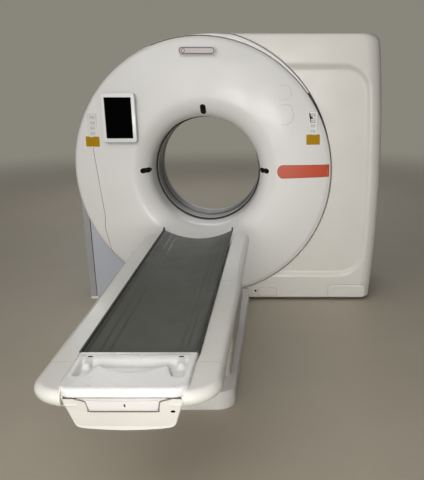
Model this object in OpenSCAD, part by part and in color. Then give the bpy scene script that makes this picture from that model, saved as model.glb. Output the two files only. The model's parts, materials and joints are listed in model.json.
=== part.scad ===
/* [Gantry] */
// Height of the bore axis above the floor
iso_h = 897; // [880:1:930]
// Radius of the patient bore
bore_r = 350; // [340:1:355]
// Radius of the round front cover
disc_r = 852; // [845:1:860]
// Sideways place of the round cover's centre, from the bore axis
disc_x = -12; // [-16:1:0]
// Height of the round cover's centre, from the bore axis
disc_z = 8; // [0:1:12]
// Width of the right housing, from the bore axis to its outer wall
house_w = 1178; // [1160:1:1200]
// Height of the right housing's top above the floor
house_top = 1770; // [1765:1:1790]
// Radius of the long barrel curve of the housing's outer wall
house_barrel = 9000; // [8000:100:12000]
// Rounding of the housing's front upright edge
house_round = 90; // [60:1:110]
// Rounding of the housing's top outer corner
house_corner = 60; // [40:1:80]
// Width of the lower left side, from the bore axis to its outer wall
left_w = 850; // [845:1:870]
// Height of the lower left side panels above the floor
left_top = 700; // [660:1:720]
// Ground clearance of the covers
skirt_gap = 20; // [18:1:24]
// Wall of the moulded covers
wall = 6; // [5:0.5:7]
// Gap between one cover and the next
seam = 4; // [3:0.5:5]

/* [Front face, depths measured forward of the bore axis plane] */
// Depth of the round cover's rim edge
edge_d = 340; // [330:1:350]
// Depth of the front of the dish
crown_d = 400; // [395:1:410]
// Radius at which the dish is deepest
crown_r = 600; // [580:1:620]
// Radius of the dish's fall from crown to rim
dome_r = 605; // [590:1:640]
// Depth at which the funnel meets the bore
rim_d = 130; // [120:1:140]
// Rounding of the round cover's edge
edge_round = 24; // [18:1:28]
// Sideways place of the centre of the crease arc
crease_x = 100; // [80:1:120]
// Height of the centre of the crease arc above the floor
crease_z = 630; // [620:1:640]
// Radius of the crease arc
crease_r = 960; // [955:1:970]
// Depth of the crease behind the front of the dish
crease_drop = 12; // [8:1:16]
// Fall of the cover above the crease, for each unit outward
crease_fall = 0.3; // [0.28:0.01:0.34]
// Depth of the gantry behind the bore axis plane
back_d = 420; // [410:1:440]

/* [Housing recess] */
// Right edge of the recess in the housing front
recess_x = 1088; // [1070:1:1095]
// Bottom of the recess above the floor
recess_low = 192; // [185:1:205]
// Top of the recess above the floor
recess_high = 1572; // [1550:1:1590]
// Radius of the recess corners
recess_r = 150; // [120:1:180]
// Depth of the recess
recess_d = 16; // [10:1:20]

/* [Rotor and bearing] */
// Radius of the ball circle of the main bearing
ball_circle = 440; // [436:1:446]
// Radius of one bearing ball
ball_r = 12; // [11:0.5:13]
// Number of balls
ball_count = 36; // [30:1:40]
// Outer radius of the rotating drum
drum_r = 740; // [730:1:745]
// Thickness of the drum plate
drum_t = 30; // [24:1:34]
// Radius of the tube housing
tube_r = 112; // [105:1:116]
// Radius of the circle on which the tube housing sits
tube_place = 565; // [560:1:575]
// Radius of the face of the detector arc
detector_r = 560; // [550:1:570]
// Angle that the detector arc spans
detector_angle = 56; // [50:1:60]

/* [Drive] */
// Sideways place of the drive motor
motor_x = 905; // [890:1:930]
// Height of the drive motor above the floor
motor_z = 330; // [310:1:350]
// Radius of the motor pulley
pulley_r = 60; // [50:1:70]
// Thickness of the drive belt
belt_t = 5; // [4:0.5:6]
// Radius of the motor shaft
shaft_r = 15; // [12:0.5:18]

/* [Table] */
// Height of the cradle's outer edge above the floor
top_z = 632; // [632:1:640]
// Width of the grey cradle
cradle_w = 428; // [420:1:430]
// Sag of the cradle surface at its centre line
cradle_sag = 57; // [52:1:58]
// Room between the cradle and the bore when it passes through
bore_room = 9; // [8:0.5:10]
// Length of the grey cradle
cradle_l = 1846; // [1800:1:1880]
// Length of the white foot cover of the tabletop
foot_l = 296; // [280:1:310]
// Distance of the cradle's head end in front of the bore axis plane
head_d = 824; // [815:1:860]
// Height of the raised lips along the cradle edges
lip_h = 12; // [8:1:14]
// Width of the raised lips
lip_w = 16; // [12:1:18]
// Overall width of the white surround
surround_w = 632; // [620:1:644]
// Thickness of the surround
surround_t = 56; // [50:1:60]
// Height of the surround's top face below the cradle edge
surround_drop = 12; // [8:1:14]
// Radius of the surround's outer corners at the foot
foot_corner = 130; // [120:1:140]
// Radius of the surround's outer corners at the head
head_corner = 60; // [50:1:70]
// Gap between the tabletop and the surround
slide_gap = 5; // [4:0.5:6]
// Travel of the tabletop into the bore
slide_travel = 1600; // [1500:10:1650]

/* [Table base] */
// Width of the floor plinth
plinth_w = 562; // [550:1:570]
// Height of the floor plinth
plinth_h = 95; // [90:1:100]
// Distance of the plinth's foot end in front of the bore axis plane
plinth_d = 1945; // [1930:1:1960]
// Corner radius of the plinth
plinth_r = 90; // [70:1:100]
// Width of the upper lift cover
lift_w = 536; // [530:1:544]
// Distance of the lift covers' foot end in front of the bore axis plane
lift_foot_d = 1790; // [1780:1:1800]
// Distance of the lift covers' head end in front of the bore axis plane
lift_head_d = 880; // [870:1:900]
// Wall of the lift covers
lift_wall = 4; // [3:0.5:5]
// Gap between neighbouring lift covers
lift_gap = 5; // [4:0.5:6]

/* [Controls] */
// Width of a control strip
strip_w = 58; // [54:1:62]
// Height of a control strip
strip_h = 150; // [140:1:156]
// Sideways place of the left control strip
strip_left_x = -715; // [-720:1:-710]
// Height of the left control strip's middle
strip_left_z = 1211; // [1205:1:1216]
// Sideways place of the right control strip
strip_right_x = 714; // [708:1:718]
// Height of the right control strip's middle
strip_right_z = 1226; // [1220:1:1230]
// Size of one push button
key_w = 30; // [26:1:34]
// Height of one push button
key_h = 22; // [18:1:24]
// Travel of one push button
key_travel = 1.5; // [1:0.5:2]
// Width of the tablet
tablet_w = 216; // [210:1:222]
// Height of the tablet
tablet_h = 306; // [300:1:312]
// Sideways place of the tablet
tablet_x = -530; // [-536:1:-524]
// Height of the tablet's middle
tablet_z = 1262; // [1256:1:1268]
// Thickness of the tablet
tablet_t = 14; // [12:1:16]
// Length of the status light bar
bar_w = 226; // [220:1:232]
// Height of the status light bar
bar_h = 44; // [40:1:46]
// Height of the status light bar above the floor
bar_z = 1667; // [1660:1:1674]
bar_x = -18; // [-30:1:0]

/* [Hidden] */
$fn = 128;
e = 0.01;
big = 4000;
white = [0.90, 0.89, 0.87];
warm = [0.84, 0.82, 0.78];
steel = [0.55, 0.57, 0.60];
dark = [0.12, 0.12, 0.13];

// Places that follow from the sizes above
axis_z = iso_h;
disc_cz = iso_h + disc_z;
cover_gap_r = disc_r + seam;
drum_back = 25 + drum_t;
drum_front = 25;
bearing_w = 50;
bearing_front = drum_back;
bearing_back = bearing_front + bearing_w;
race_gap = 4;
ball_play = 0.3;
stator_t = 40;
frame_top = 120;
frame_low = skirt_gap;
cradle_bottom_r = bore_r - bore_room;
cradle_top_r = (pow(cradle_w / 2, 2) + pow(cradle_sag, 2)) / (2 * cradle_sag);
cradle_top_z = top_z - cradle_sag;
surround_z = top_z - surround_drop;
foot_y = -head_d - cradle_l;
end_y = foot_y - foot_l;
channel = cradle_w / 2 + slide_gap;
carrier_top = axis_z - cradle_bottom_r - 10;
carrier_low = carrier_top - 56;
arm_reach = 256;
arm_w = 60;
arm_places = [end_y + 300, end_y + 726, -1500, -1060];
belly_w = 372;
belly_t = 5;
cover_low_top = 355;
cover_mid_low = 165;
cover_mid_top = 425;
cover_up_low = 235;
column_foot = 22;
column_low_top = 340;
column_mid_low = 105;
column_mid_top = 425;
column_rod_low = 168;
rail_x = 110;
rail_w = 20;

// Turns a shape drawn in the gantry's front view so that its height points forward
module facing() {
    translate([0, 0, axis_z]) rotate([90, 0, 0]) children();
}

// A shape drawn in the front view, standing between two depths forward of the axis plane
module slab(d0, d1) {
    rotate([90, 0, 0]) translate([0, 0, d0]) linear_extrude(d1 - d0) children();
}

// Rectangle with round corners, centred
module round_rect(w, h, r) {
    square([w - 2 * r, h], center = true);
    square([w, h - 2 * r], center = true);
    for (x = [-1, 1], y = [-1, 1])
        translate([x * (w / 2 - r), y * (h / 2 - r)]) circle(r);
}

// Depth of the dish at a radius from the bore axis, for a skin that lies "inset" behind the face
function funnel_point(t, inset) =
    [crown_r - (crown_r - bore_r - inset) * cos(t), rim_d + (crown_d - inset - rim_d) * sin(t)];
function dome_point(r, inset) =
    [r, crown_d - inset - (dome_r - sqrt(pow(dome_r, 2) - pow(r - crown_r, 2)))];
dish_far = 900;
function dish_curve(inset) = concat(
    [for (t = [0 : 5 : 90]) funnel_point(t, inset)],
    [for (r = [crown_r + 30 : 30 : dish_far]) dome_point(r, inset)]);

// Solid of revolution that lies behind the dish
module dish_solid(inset, floor_d) {
    rotate([0, 0, 135]) rotate_extrude()
        polygon(concat([[bore_r + inset, rim_d - floor_d]], dish_curve(inset), [[dish_far, rim_d - floor_d]]));
}

// Cone above the crease, moved back by the skin
module crease_cone(inset) {
    top_d = crown_d - crease_drop - inset;
    out = 1200;
    inward = 700;
    translate([crease_x, crease_z - axis_z, top_d - out * crease_fall])
        cylinder(r1 = crease_r + out, r2 = crease_r - inward, h = (out + inward) * crease_fall);
}

// Round blank with a rounded front edge, on the disc's own centre
module disc_blank(r, inset) {
    low = edge_d - edge_round + 8 - inset;
    bevel = edge_round * cos(45);
    translate([disc_x, disc_z, 0]) rotate([0, 0, 90]) rotate_extrude()
        polygon(concat([[0, -1], [r, -1]],
            [for (a = [0 : 15 : 45]) [r - edge_round + edge_round * cos(a), low + edge_round * sin(a)]],
            [[r - edge_round + bevel - 250, low + bevel + 250], [0, low + bevel + 250]]));
}

module dish_body(inset) {
    intersection() {
        dish_solid(inset, inset > 0 ? 100 : 0);
        crease_cone(inset);
        disc_blank(disc_r - inset, inset);
    }
}

module front_cover() {
    color(white) facing() difference() {
        dish_body(0);
        dish_body(wall);
        translate([0, 0, -1]) difference() {
            cylinder(r = dish_far + 10, h = edge_d - rim_overlap);
            translate([0, 0, -1]) cylinder(r = bore_r + 110, h = edge_d);
        }
        laser_shapes(0);
        translate([bar_x, bar_z - axis_z, 0]) linear_extrude(big) round_rect(bar_w - 30, bar_h - 14, 6);
        for (s = [[strip_left_x, strip_left_z], [strip_right_x, strip_right_z]])
            translate([s[0], s[1] - axis_z, 0]) linear_extrude(big) round_rect(strip_w + 1, strip_h + 1, 8.5);
    }
}

// Laser windows sit in the funnel wall on three sides of the bore
laser_w = 40;
laser_l = 66;
laser_place = 398;
laser_rise = 8;
module laser_shapes(shrink) {
    for (a = [0, 90, 180])
        translate([0, laser_rise, 0]) rotate([0, 0, a]) translate([laser_place, 0, 150])
            linear_extrude(big) round_rect(laser_l - 2 * shrink, laser_w - 2 * shrink, laser_w / 2 - shrink - e);
}
module laser_windows() {
    color(dark) facing() intersection() {
        laser_shapes(0.5);
        difference() {
            dish_solid(1, 100);
            dish_solid(wall - 1, 100);
        }
    }
}

// Elevation of the right housing
module housing_outline(inset) {
    intersection() {
        union() {
            translate([-20 - inset, skirt_gap - inset]) square([house_w + 20, house_top - skirt_gap + inset - house_corner]);
            translate([-20 - inset, skirt_gap - inset]) square([house_w + 20 + inset - house_corner, house_top - skirt_gap]);
            translate([house_w - house_corner, house_top - house_corner]) circle(house_corner - inset);
        }
        translate([house_w - house_barrel, axis_z]) circle(r = house_barrel - inset, $fn = 256);
        translate([-20 - inset, 0]) square([big, big]);
    }
}
module housing_plan(inset) {
    x0 = -30;
    translate([x0, -edge_d + house_round]) square([house_w - x0 - inset, big]);
    translate([x0, -edge_d + inset]) square([house_w - x0 - house_round, edge_d]);
    translate([house_w - house_round, -edge_d + house_round]) circle(house_round - inset);
}
module housing_block(inset) {
    intersection() {
        slab(inset > 0 ? -big : -back_d + wall + seam, edge_d) housing_outline(inset);
        linear_extrude(big) housing_plan(inset);
    }
}
module recess_outline(grow) {
    hgt = recess_high - recess_low + 2 * grow;
    translate([recess_x + grow - 600, recess_low - grow + hgt / 2]) round_rect(1200, hgt, recess_r + grow);
}
module right_housing() {
    color(warm) difference() {
        housing_block(0);
        difference() {
            housing_block(wall);
            slab(edge_d - recess_d - wall, edge_d + 1) recess_outline(wall);
        }
        translate([disc_x, 0, disc_cz]) rotate([90, 0, 0]) translate([0, 0, -back_d - 1]) cylinder(r = cover_gap_r, h = big);
        slab(edge_d - recess_d, edge_d + 1) recess_outline(0);
        translate([flap_x, -edge_d - 1, skirt_gap - 1]) cube([flap_w, wall, flap_h + 1]);
        translate([small_x, -edge_d - 1, small_z]) cube([small_w, wall, small_h]);
    }
}

flap_x = 838;
flap_w = 256;
flap_h = 92;
small_x = 342;
small_w = 120;
small_z = 34;
small_h = 52;
module service_flap() {
    color(white) translate([flap_x + 1, -edge_d, skirt_gap + 2]) difference() {
        cube([flap_w - 2, wall - 1.5, flap_h - 4]);
        translate([flap_w / 2, -1, 12]) rotate([-90, 0, 0]) cylinder(r = 4, h = wall + 2);
    }
}
module cable_cover() {
    color(white) translate([small_x + 1, -edge_d, small_z + 1]) difference() {
        cube([small_w - 2, wall - 1.5, small_h - 2]);
        translate([10, -1, small_h / 2]) rotate([-90, 0, 0]) cylinder(r = 5, h = wall + 2);
    }
}

// Grey panels below the round cover on the left
corner_return = 42;
module left_corner_panel() {
    color([0.70, 0.72, 0.78]) difference() {
        translate([-left_w, -edge_d + 20, skirt_gap]) cube([corner_return, edge_d - 20 + back_d - wall - seam, left_top - skirt_gap]);
        translate([-left_w + wall, -edge_d + 20 + wall, skirt_gap - 1])
            cube([corner_return, edge_d + back_d, left_top]);
        disc_clear();
    }
    color([0.70, 0.72, 0.78]) for (y = [-front_rail_d, -rear_rail_d])
        translate([-left_w + wall - 1, y, frame_low + 50]) rotate([0, 90, 0])
            cylinder(r = 14, h = left_w + frame_left - wall + 1);
}
module left_front_panel() {
    color([0.74, 0.76, 0.82]) difference() {
        translate([-left_w + corner_return + seam, -edge_d + 22, skirt_gap]) cube([left_w - corner_return - seam - 24, wall, left_top - skirt_gap]);
        disc_clear();
        translate([-big / 2, -edge_d + 22 - 1, 140]) cube([big, 2.5, 2]);
    }
}
module disc_clear() {
    translate([disc_x, 0, disc_cz]) rotate([90, 0, 0]) translate([0, 0, -big / 2]) cylinder(r = cover_gap_r, h = big);
}

// Drum-shaped skin behind the round cover, on its left and top
rim_cover_low = 600;
rim_overlap = 60;
module rim_cover() {

    color(white) intersection() {
        translate([disc_x, 0, disc_cz]) rotate([90, 0, 0]) translate([0, 0, -back_d + wall + seam]) difference() {
            cylinder(r = disc_r - seam, h = back_d - wall - seam + edge_d - rim_overlap - 1.3);
            translate([0, 0, -1]) cylinder(r = disc_r - seam - wall, h = big);
        }
        translate([-big, -big / 2, rim_cover_low]) cube([big - 24, big, big]);
    }
}

// Back cover: one flat moulding with a funnel of its own
rear_mouth = 540;
module rear_outline() {
    translate([disc_x, disc_cz]) circle(disc_r - 4);
    housing_outline(0);
    translate([-left_w, skirt_gap]) square([left_w, left_top - skirt_gap]);
}
function rear_funnel(inset) = [for (t = [0 : 10 : 90])
    [rear_mouth - (rear_mouth - bore_r - inset) * cos(t), rim_d + (back_d - inset - rim_d) * sin(t)]];
module rear_cover() {
    color(white) union() {
        for (x = [-650, -300, 300, 950])
            translate([x, -rear_rail_d + rail_t / 2, frame_low + 50]) rotate([-90, 0, 0])
                cylinder(r = 14, h = back_d + rear_rail_d - rail_t / 2 - wall + 1);
        difference() {
            slab(-back_d, -back_d + wall) rear_outline();
            translate([0, 0, axis_z]) rotate([90, 0, 0]) translate([0, 0, -back_d - 1]) cylinder(r = rear_mouth, h = 2 * wall);
        }
        translate([0, 0, axis_z]) rotate([-90, 0, 0]) rotate_extrude()
            polygon(concat(rear_funnel(0), [[rear_mouth + e, back_d], [rear_mouth + e, back_d - wall]],
                [for (t = [90 : -10 : 0]) [rear_mouth - (rear_mouth - bore_r - wall) * cos(t),
                    rim_d + (back_d - wall - rim_d) * sin(t)]]));
    }
}

// The bore is lined by two tubes with the thin scan window between them
window_half = 30;
module liner(d0, d1, t) {
    facing() translate([0, 0, d0]) difference() {
        cylinder(r = bore_r + t, h = d1 - d0);
        translate([0, 0, -1]) cylinder(r = bore_r, h = d1 - d0 + 2);
    }
}
module bore_liner_front() color([0.80, 0.80, 0.80]) liner(window_half + 0.3, rim_d - seam, wall);
module scan_window() color([0.35, 0.36, 0.38]) liner(-window_half, window_half, 2.5);
module bore_liner_rear() color([0.80, 0.80, 0.80]) liner(-rim_d, -window_half - 0.3, wall);
module bore_seal_ring() color(dark) liner(rim_d - seam, rim_d, wall - 1);

// Welded floor frame of the gantry
frame_left = -780;
frame_right = 1100;
rail_t = 80;
front_rail_d = 236;
rear_rail_d = -350;
anchor_r = 9;
anchor_dx = 1600;
anchor_x = (frame_left + frame_right) / 2;
module base_frame() {
    color(steel) difference() {
        union() {
            for (d = [front_rail_d, rear_rail_d, -bearing_back - stator_t / 2])
                translate([frame_left, -d - rail_t / 2, frame_low]) cube([frame_right - frame_left, rail_t, 100]);
            for (x = [frame_left, frame_right - rail_t])
                translate([x, -front_rail_d, frame_low]) cube([rail_t, front_rail_d - rear_rail_d, 100]);
            translate([-160, -front_rail_d, frame_low]) cube([320, front_rail_d - rear_rail_d, 30]);
            motor_bracket();
        }
        for (x = [-1, 1], d = [front_rail_d, rear_rail_d])
            translate([anchor_x + x * anchor_dx / 2, -d, frame_low - 1]) cylinder(r = anchor_r, h = 102);
    }
}
module levelling_feet() {
    color([0.3, 0.3, 0.32]) for (x = [-1, 1], d = [front_rail_d, rear_rail_d])
        translate([anchor_x + x * (anchor_dx / 2 - 120), -d, 0]) {
            cylinder(r1 = 45, r2 = 38, h = 14);
            cylinder(r = 16, h = frame_low);
        }
}
module floor_plate() {
    color([0.5, 0.5, 0.5]) translate([-160, -plinth_d + 120, 0]) cube([320, plinth_d - 120 + 330, frame_low]);
}

// Upright ring that carries the main bearing
stator_in = ball_circle + race_gap;
module stator_frame() {
    color(steel) facing() translate([slip_out + 0.3, -60, -bearing_back - 1]) cube([6, 120, 46]);
    color(steel) slab(-bearing_back - stator_t, -bearing_back) difference() {
        union() {
            translate([0, axis_z]) circle(620);
            for (x = [-560, 360]) translate([x, frame_top]) square([200, axis_z - frame_top - 200]);
            translate([-560, frame_top]) square([1120, 90]);
        }
        translate([0, axis_z]) circle(stator_in);
        for (a = [15 : 30 : 345]) translate([0, axis_z]) rotate(a) translate([545, 0]) circle(9);
    }
}
module race(r0, r1) {
    facing() difference() {
        translate([0, 0, -bearing_back]) difference() {
            cylinder(r = r1, h = bearing_w);
            translate([0, 0, -1]) cylinder(r = r0, h = bearing_w + 2);
        }
        translate([0, 0, -(bearing_front + bearing_back) / 2]) rotate_extrude() translate([ball_circle, 0]) circle(r = ball_r + ball_play, $fn = 48);
    }
}
module bearing_outer_ring() color([0.62, 0.62, 0.65]) race(ball_circle + race_gap, ball_circle + 40);
module bearing_inner_ring() color([0.62, 0.62, 0.65]) race(ball_circle - 34, ball_circle - race_gap);
module bearing_balls() {
    color([0.8, 0.8, 0.82]) facing() for (i = [0 : ball_count - 1])
        rotate([0, 0, i * 360 / ball_count]) translate([ball_circle, 0, -(bearing_front + bearing_back) / 2]) sphere(r = ball_r, $fn = 32);
}

// Everything below turns round the patient
module rotor_drum() {
    color([0.66, 0.67, 0.70]) facing() difference() {
        union() {
            translate([0, 0, -drum_back]) cylinder(r = drum_r, h = drum_t);
            translate([0, 0, -bearing_back]) cylinder(r = ball_circle - 34, h = bearing_w + 1);
        }
        translate([0, 0, -bearing_back - 1]) cylinder(r = bore_r + 22, h = big);
        for (a = [22.5 : 45 : 360]) rotate([0, 0, a]) translate([650, 0, -drum_back - 1]) cylinder(r = 45, h = drum_t + 2);
    }
}
module on_drum() facing() translate([0, 0, -drum_front]) children();
module xray_tube() {
    color([0.45, 0.47, 0.50]) on_drum() translate([0, tube_place, 0]) {
        cylinder(r = tube_r, h = 210);
        translate([0, 0, 210]) cylinder(r1 = tube_r, r2 = tube_r - 22, h = 22);
        translate([-tube_r - 24, -60, 0]) cube([2 * tube_r + 48, 120, 26]);
        for (x = [-1, 1]) translate([x * 42, 26, 232]) cylinder(r = 20, h = 34);
    }
}
module beam_collimator() {
    color([0.35, 0.35, 0.36]) on_drum() translate([0, 0, 0]) difference() {
        translate([-92, bore_r + 28, 0]) cube([184, tube_place - tube_r - bore_r - 29, 96]);
        translate([-30, bore_r, 12]) cube([60, 200, 44]);
    }
}
module detector_arc() {
    color([0.30, 0.38, 0.46]) on_drum() rotate([0, 0, -90 - detector_angle / 2])
        rotate_extrude(angle = detector_angle) translate([detector_r, 0]) square([46, 118]);
    color([0.20, 0.42, 0.30]) on_drum() for (i = [-4 : 4])
        rotate([0, 0, -90 + i * 6]) translate([detector_r + 44, -20, 0]) cube([70, 40, 96]);
}
module high_voltage_generator() {
    color([0.60, 0.60, 0.62]) on_drum() translate([-690, -160, 0]) difference() {
        cube([230, 320, 190]);
        for (y = [30 : 32 : 290]) translate([-1, y, 40]) cube([14, 12, 120]);
    }
}
module cooling_unit() {
    color([0.52, 0.55, 0.58]) on_drum() translate([460, -150, 0]) difference() {
        cube([220, 300, 170]);
        for (y = [78, 222]) translate([110, y, 130]) cylinder(r = 60, h = 41);
    }
}
module counterweights() {
    color([0.40, 0.40, 0.40]) on_drum() for (a = [132, 48])
        rotate([0, 0, a - 11]) rotate_extrude(angle = 22) translate([520, 0]) square([180, 60]);
}
slip_in = 560;
slip_out = 612;
slip_t = 44;
module slip_ring() {
    color([0.75, 0.55, 0.30]) facing() translate([0, 0, -drum_back - slip_t]) difference() {
        cylinder(r = slip_out, h = slip_t);
        translate([0, 0, -1]) cylinder(r = slip_in, h = slip_t + 2);
        for (k = [0 : 3]) translate([0, 0, 5 + k * 10]) difference() {
            cylinder(r = slip_out + 1, h = 4);
            translate([0, 0, -1]) cylinder(r = slip_out - 3, h = 6);
        }
    }
}

module drive_motor() {
    color([0.30, 0.32, 0.36]) translate([motor_x, 0, motor_z]) rotate([90, 0, 0]) difference() {
        union() {
            translate([0, 0, -drum_back - 240]) cylinder(r = 78, h = 220);
            for (a = [0 : 20 : 340]) rotate([0, 0, a]) translate([74, -2, -drum_back - 220]) cube([10, 4, 170]);
        }
        translate([0, 0, -drum_back - 90]) cylinder(r = shaft_r + 0.05, h = 100);
    }
}
module motor_bracket() {
    slab(-drum_back - 20, -drum_back - 8) difference() {
        translate([motor_x - 95, frame_top - 1]) square([190, motor_z - frame_top + 96]);
        translate([motor_x, motor_z]) circle(shaft_r + 6);
    }
    translate([motor_x - 95, drum_back + 8, frame_top - 12]) cube([190, 120, 12]);
}
module motor_pulley() {
    color([0.6, 0.6, 0.62]) translate([motor_x, 0, motor_z]) rotate([90, 0, 0]) {
        translate([0, 0, -drum_back]) cylinder(r = pulley_r, h = drum_t);
        for (z = [-drum_back - 3, -drum_front]) translate([0, 0, z]) cylinder(r = pulley_r + 8, h = 3);
        translate([0, 0, -drum_back - 80]) cylinder(r = shaft_r, h = 82);
    }
}
module belt_loop(t) {
    hull() {
        translate([0, axis_z]) circle(r = drum_r + t, $fn = 180);
        translate([motor_x, motor_z]) circle(r = pulley_r + t, $fn = 48);
    }
}
module drive_belt() {
    color(dark) slab(-drum_back + 2, -drum_front - 2) difference() {
        belt_loop(belt_t + 0.4);
        belt_loop(0.4);
    }
}
module power_cabinet() {
    color([0.5, 0.52, 0.54]) translate([880, -240, frame_top]) difference() {
        union() {
            translate([0, 330, 320]) cube([220, 290, 960]);
            translate([160, 330, 0]) cube([60, 290, 330]);
        }
        for (z = [360 : 40 : 1220]) translate([30, 329, z]) cube([160, 6, 12]);
    }
}

// Status light above the bore
bar_d = crown_d - 24;
module status_light_housing() {
    color([0.88, 0.87, 0.86]) translate([bar_x, -bar_d, bar_z]) difference() {
        translate([-bar_w / 2, -24, -bar_h / 2]) cube([bar_w, 60, bar_h]);
        translate([-bar_w / 2 + 4, -25, -bar_h / 2 + 4]) cube([bar_w - 8, 5, bar_h - 8]);
        translate([-bar_x, bar_d, axis_z - bar_z]) facing_here() dish_body(0);
    }
}
module facing_here() rotate([90, 0, 0]) children();
module status_light_lens() {
    color([0.95, 0.95, 0.95]) translate([bar_x, -bar_d - 23.5, bar_z]) difference() {
        translate([-bar_w / 2 + 4.3, 0, -bar_h / 2 + 4.3]) cube([bar_w - 8.6, 3.5, bar_h - 8.6]);
        translate([-bar_w / 2 + 24, -1, 0]) rotate([-90, 0, 0]) difference() {
            cylinder(r = 12, h = 2);
            translate([0, 0, -1]) cylinder(r = 9.5, h = 4);
        }
    }
}

// Tablet on its dock
tablet_d = 414;
module tablet_body() {
    color([0.93, 0.93, 0.93]) translate([tablet_x, 0, tablet_z]) rotate([90, 0, 0]) translate([0, 0, tablet_d]) difference() {
        linear_extrude(tablet_t) round_rect(tablet_w, tablet_h, 14);
        translate([0, 0, tablet_t - 2.5]) linear_extrude(5) square([tablet_w - 46, tablet_h - 52], center = true);
    }
}
module tablet_screen() {
    color(dark) translate([tablet_x, 0, tablet_z]) rotate([90, 0, 0]) translate([0, 0, tablet_d + tablet_t - 2.5])
        linear_extrude(2) square([tablet_w - 46.6, tablet_h - 52.6], center = true);
}
module tablet_dock() {
    color([0.86, 0.86, 0.86]) difference() {
        translate([tablet_x, 0, tablet_z]) rotate([90, 0, 0]) translate([0, 0, 330]) linear_extrude(tablet_d - 330) round_rect(tablet_w - 40, tablet_h - 40, 18);
        facing() dish_body(0);
    }
}
// Control strips with four keys each
strip_d = 372;
module strip_body(x, z) {
    color([0.88, 0.88, 0.88]) translate([x, 0, z]) rotate([90, 0, 0]) translate([0, 0, strip_d - 26]) difference() {
        linear_extrude(30) round_rect(strip_w, strip_h, 8);
        for (i = [0 : 3]) translate([0, (i - 1.5) * 34, 12]) linear_extrude(30) square([key_w + 1, key_h + 1], center = true);
    }
}
module key(x, z, i) {
    color([0.80, 0.82, 0.84]) translate([x, 0, z]) rotate([90, 0, 0]) translate([0, (i - 1.5) * 34, strip_d - 26 + 12 + key_travel + 0.3])
        linear_extrude(19.5 - key_travel) square([key_w, key_h], center = true);
}
module left_control_strip() strip_body(strip_left_x, strip_left_z);
module right_control_strip() strip_body(strip_right_x, strip_right_z);
module left_key_1() key(strip_left_x, strip_left_z, 0);
module left_key_2() key(strip_left_x, strip_left_z, 1);
module left_key_3() key(strip_left_x, strip_left_z, 2);
module left_key_4() key(strip_left_x, strip_left_z, 3);
module right_key_1() key(strip_right_x, strip_right_z, 0);
module right_key_2() key(strip_right_x, strip_right_z, 1);
module right_key_3() key(strip_right_x, strip_right_z, 2);
module right_key_4() key(strip_right_x, strip_right_z, 3);

// Table base on the floor
plinth_end = 372;
module plan_box(w, y0, y1, r) {
    translate([0, (y0 + y1) / 2]) round_rect(w, y1 - y0, r);
}
module table_plinth() {
    color(white) difference() {
        union() {
            linear_extrude(plinth_h) plan_box(plinth_w, -plinth_d, -plinth_end, plinth_r);
            linear_extrude(plinth_h) translate([-plinth_w / 2, -plinth_end - 300]) square([plinth_w, 300]);
        }
        translate([0, 0, -1]) linear_extrude(plinth_h - wall + 1) {
            plan_box(plinth_w - 2 * wall, -plinth_d + wall, -plinth_end - wall, plinth_r - wall);
            translate([-plinth_w / 2 + wall, -plinth_end - 300]) square([plinth_w - 2 * wall, 301]);
        }
        translate([0, 0, plinth_h - wall - 1]) linear_extrude(wall + 2) plan_box(lift_w - 80, -lift_foot_d + 40, -lift_head_d - 40, 20);
    }
    color(white) for (x = [-1, 1], y = [-lift_head_d + 120, -plinth_end - 120])
        translate([x * 130, y, frame_low]) cylinder(r = 14, h = plinth_h - frame_low - wall + 1);
}
module lift_shell(step, z0, z1) {
    in = step * (lift_wall + lift_gap);
    w = lift_w - 2 * in;
    y0 = -lift_foot_d + in;
    y1 = -lift_head_d - in;
    translate([0, 0, z0]) difference() {
        linear_extrude(z1 - z0) plan_box(w, y0, y1, 40);
        translate([0, 0, -1]) linear_extrude(z1 - z0 + 2) plan_box(w - 2 * lift_wall, y0 + lift_wall, y1 - lift_wall, 40 - lift_wall);
    }
}
module lift_cover_lower() color([0.72, 0.71, 0.67]) lift_shell(2, plinth_h, cover_low_top);
module lift_cover_middle() color([0.74, 0.73, 0.69]) lift_shell(1, cover_mid_low, cover_mid_top);
module lift_cover_upper() {
    color([0.78, 0.77, 0.73]) difference() {
        lift_shell(0, cover_up_low, surround_z - surround_t);
        translate([-belly_w / 2 - 1, -lift_foot_d - 50, carrier_low - belly_t - 2]) cube([belly_w + 2, lift_foot_d, big]);
    }
}
// Telescopic lift columns: fixed tube, middle tube and rod
column_r = 55;
column_wall = 4.7;
column_play = 0.3;
module at_columns() {
    for (y = [-lift_foot_d + 250, -lift_head_d - 250]) translate([0, y, 0]) children();
}
module lift_columns() {
    color([0.5, 0.5, 0.52]) at_columns() difference() {
        union() {
            translate([-75, -75, frame_low]) cube([150, 150, column_foot]);
            translate([0, 0, frame_low]) cylinder(r = column_r, h = column_low_top - frame_low);
        }
        translate([0, 0, frame_low + column_foot]) cylinder(r = column_r - column_wall, h = big);
    }
}
module lift_tubes() {
    color([0.6, 0.6, 0.62]) at_columns() translate([0, 0, column_mid_low]) difference() {
        cylinder(r = column_r - column_wall - column_play, h = column_mid_top - column_mid_low);
        translate([0, 0, -1]) cylinder(r = column_r - 2 * column_wall - column_play, h = big);
    }
    color([0.6, 0.6, 0.62]) difference() {
        in = 2 * lift_wall + lift_gap;
        translate([0, 0, column_mid_top - 8]) linear_extrude(8) difference() {
            plan_box(lift_w - 2 * in, -lift_foot_d + in, -lift_head_d - in, 40 - lift_wall);
            plan_box(lift_w - 160, -lift_foot_d + 400, -lift_head_d - 400, 20);
        }
        at_columns() cylinder(r = column_r - 2 * column_wall - column_play, h = big);
    }
}
module lift_rods() {
    color([0.7, 0.7, 0.72]) at_columns() translate([0, 0, column_rod_low])
        cylinder(r = column_r - 2 * column_wall - 2 * column_play, h = carrier_low - column_rod_low);
}

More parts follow.
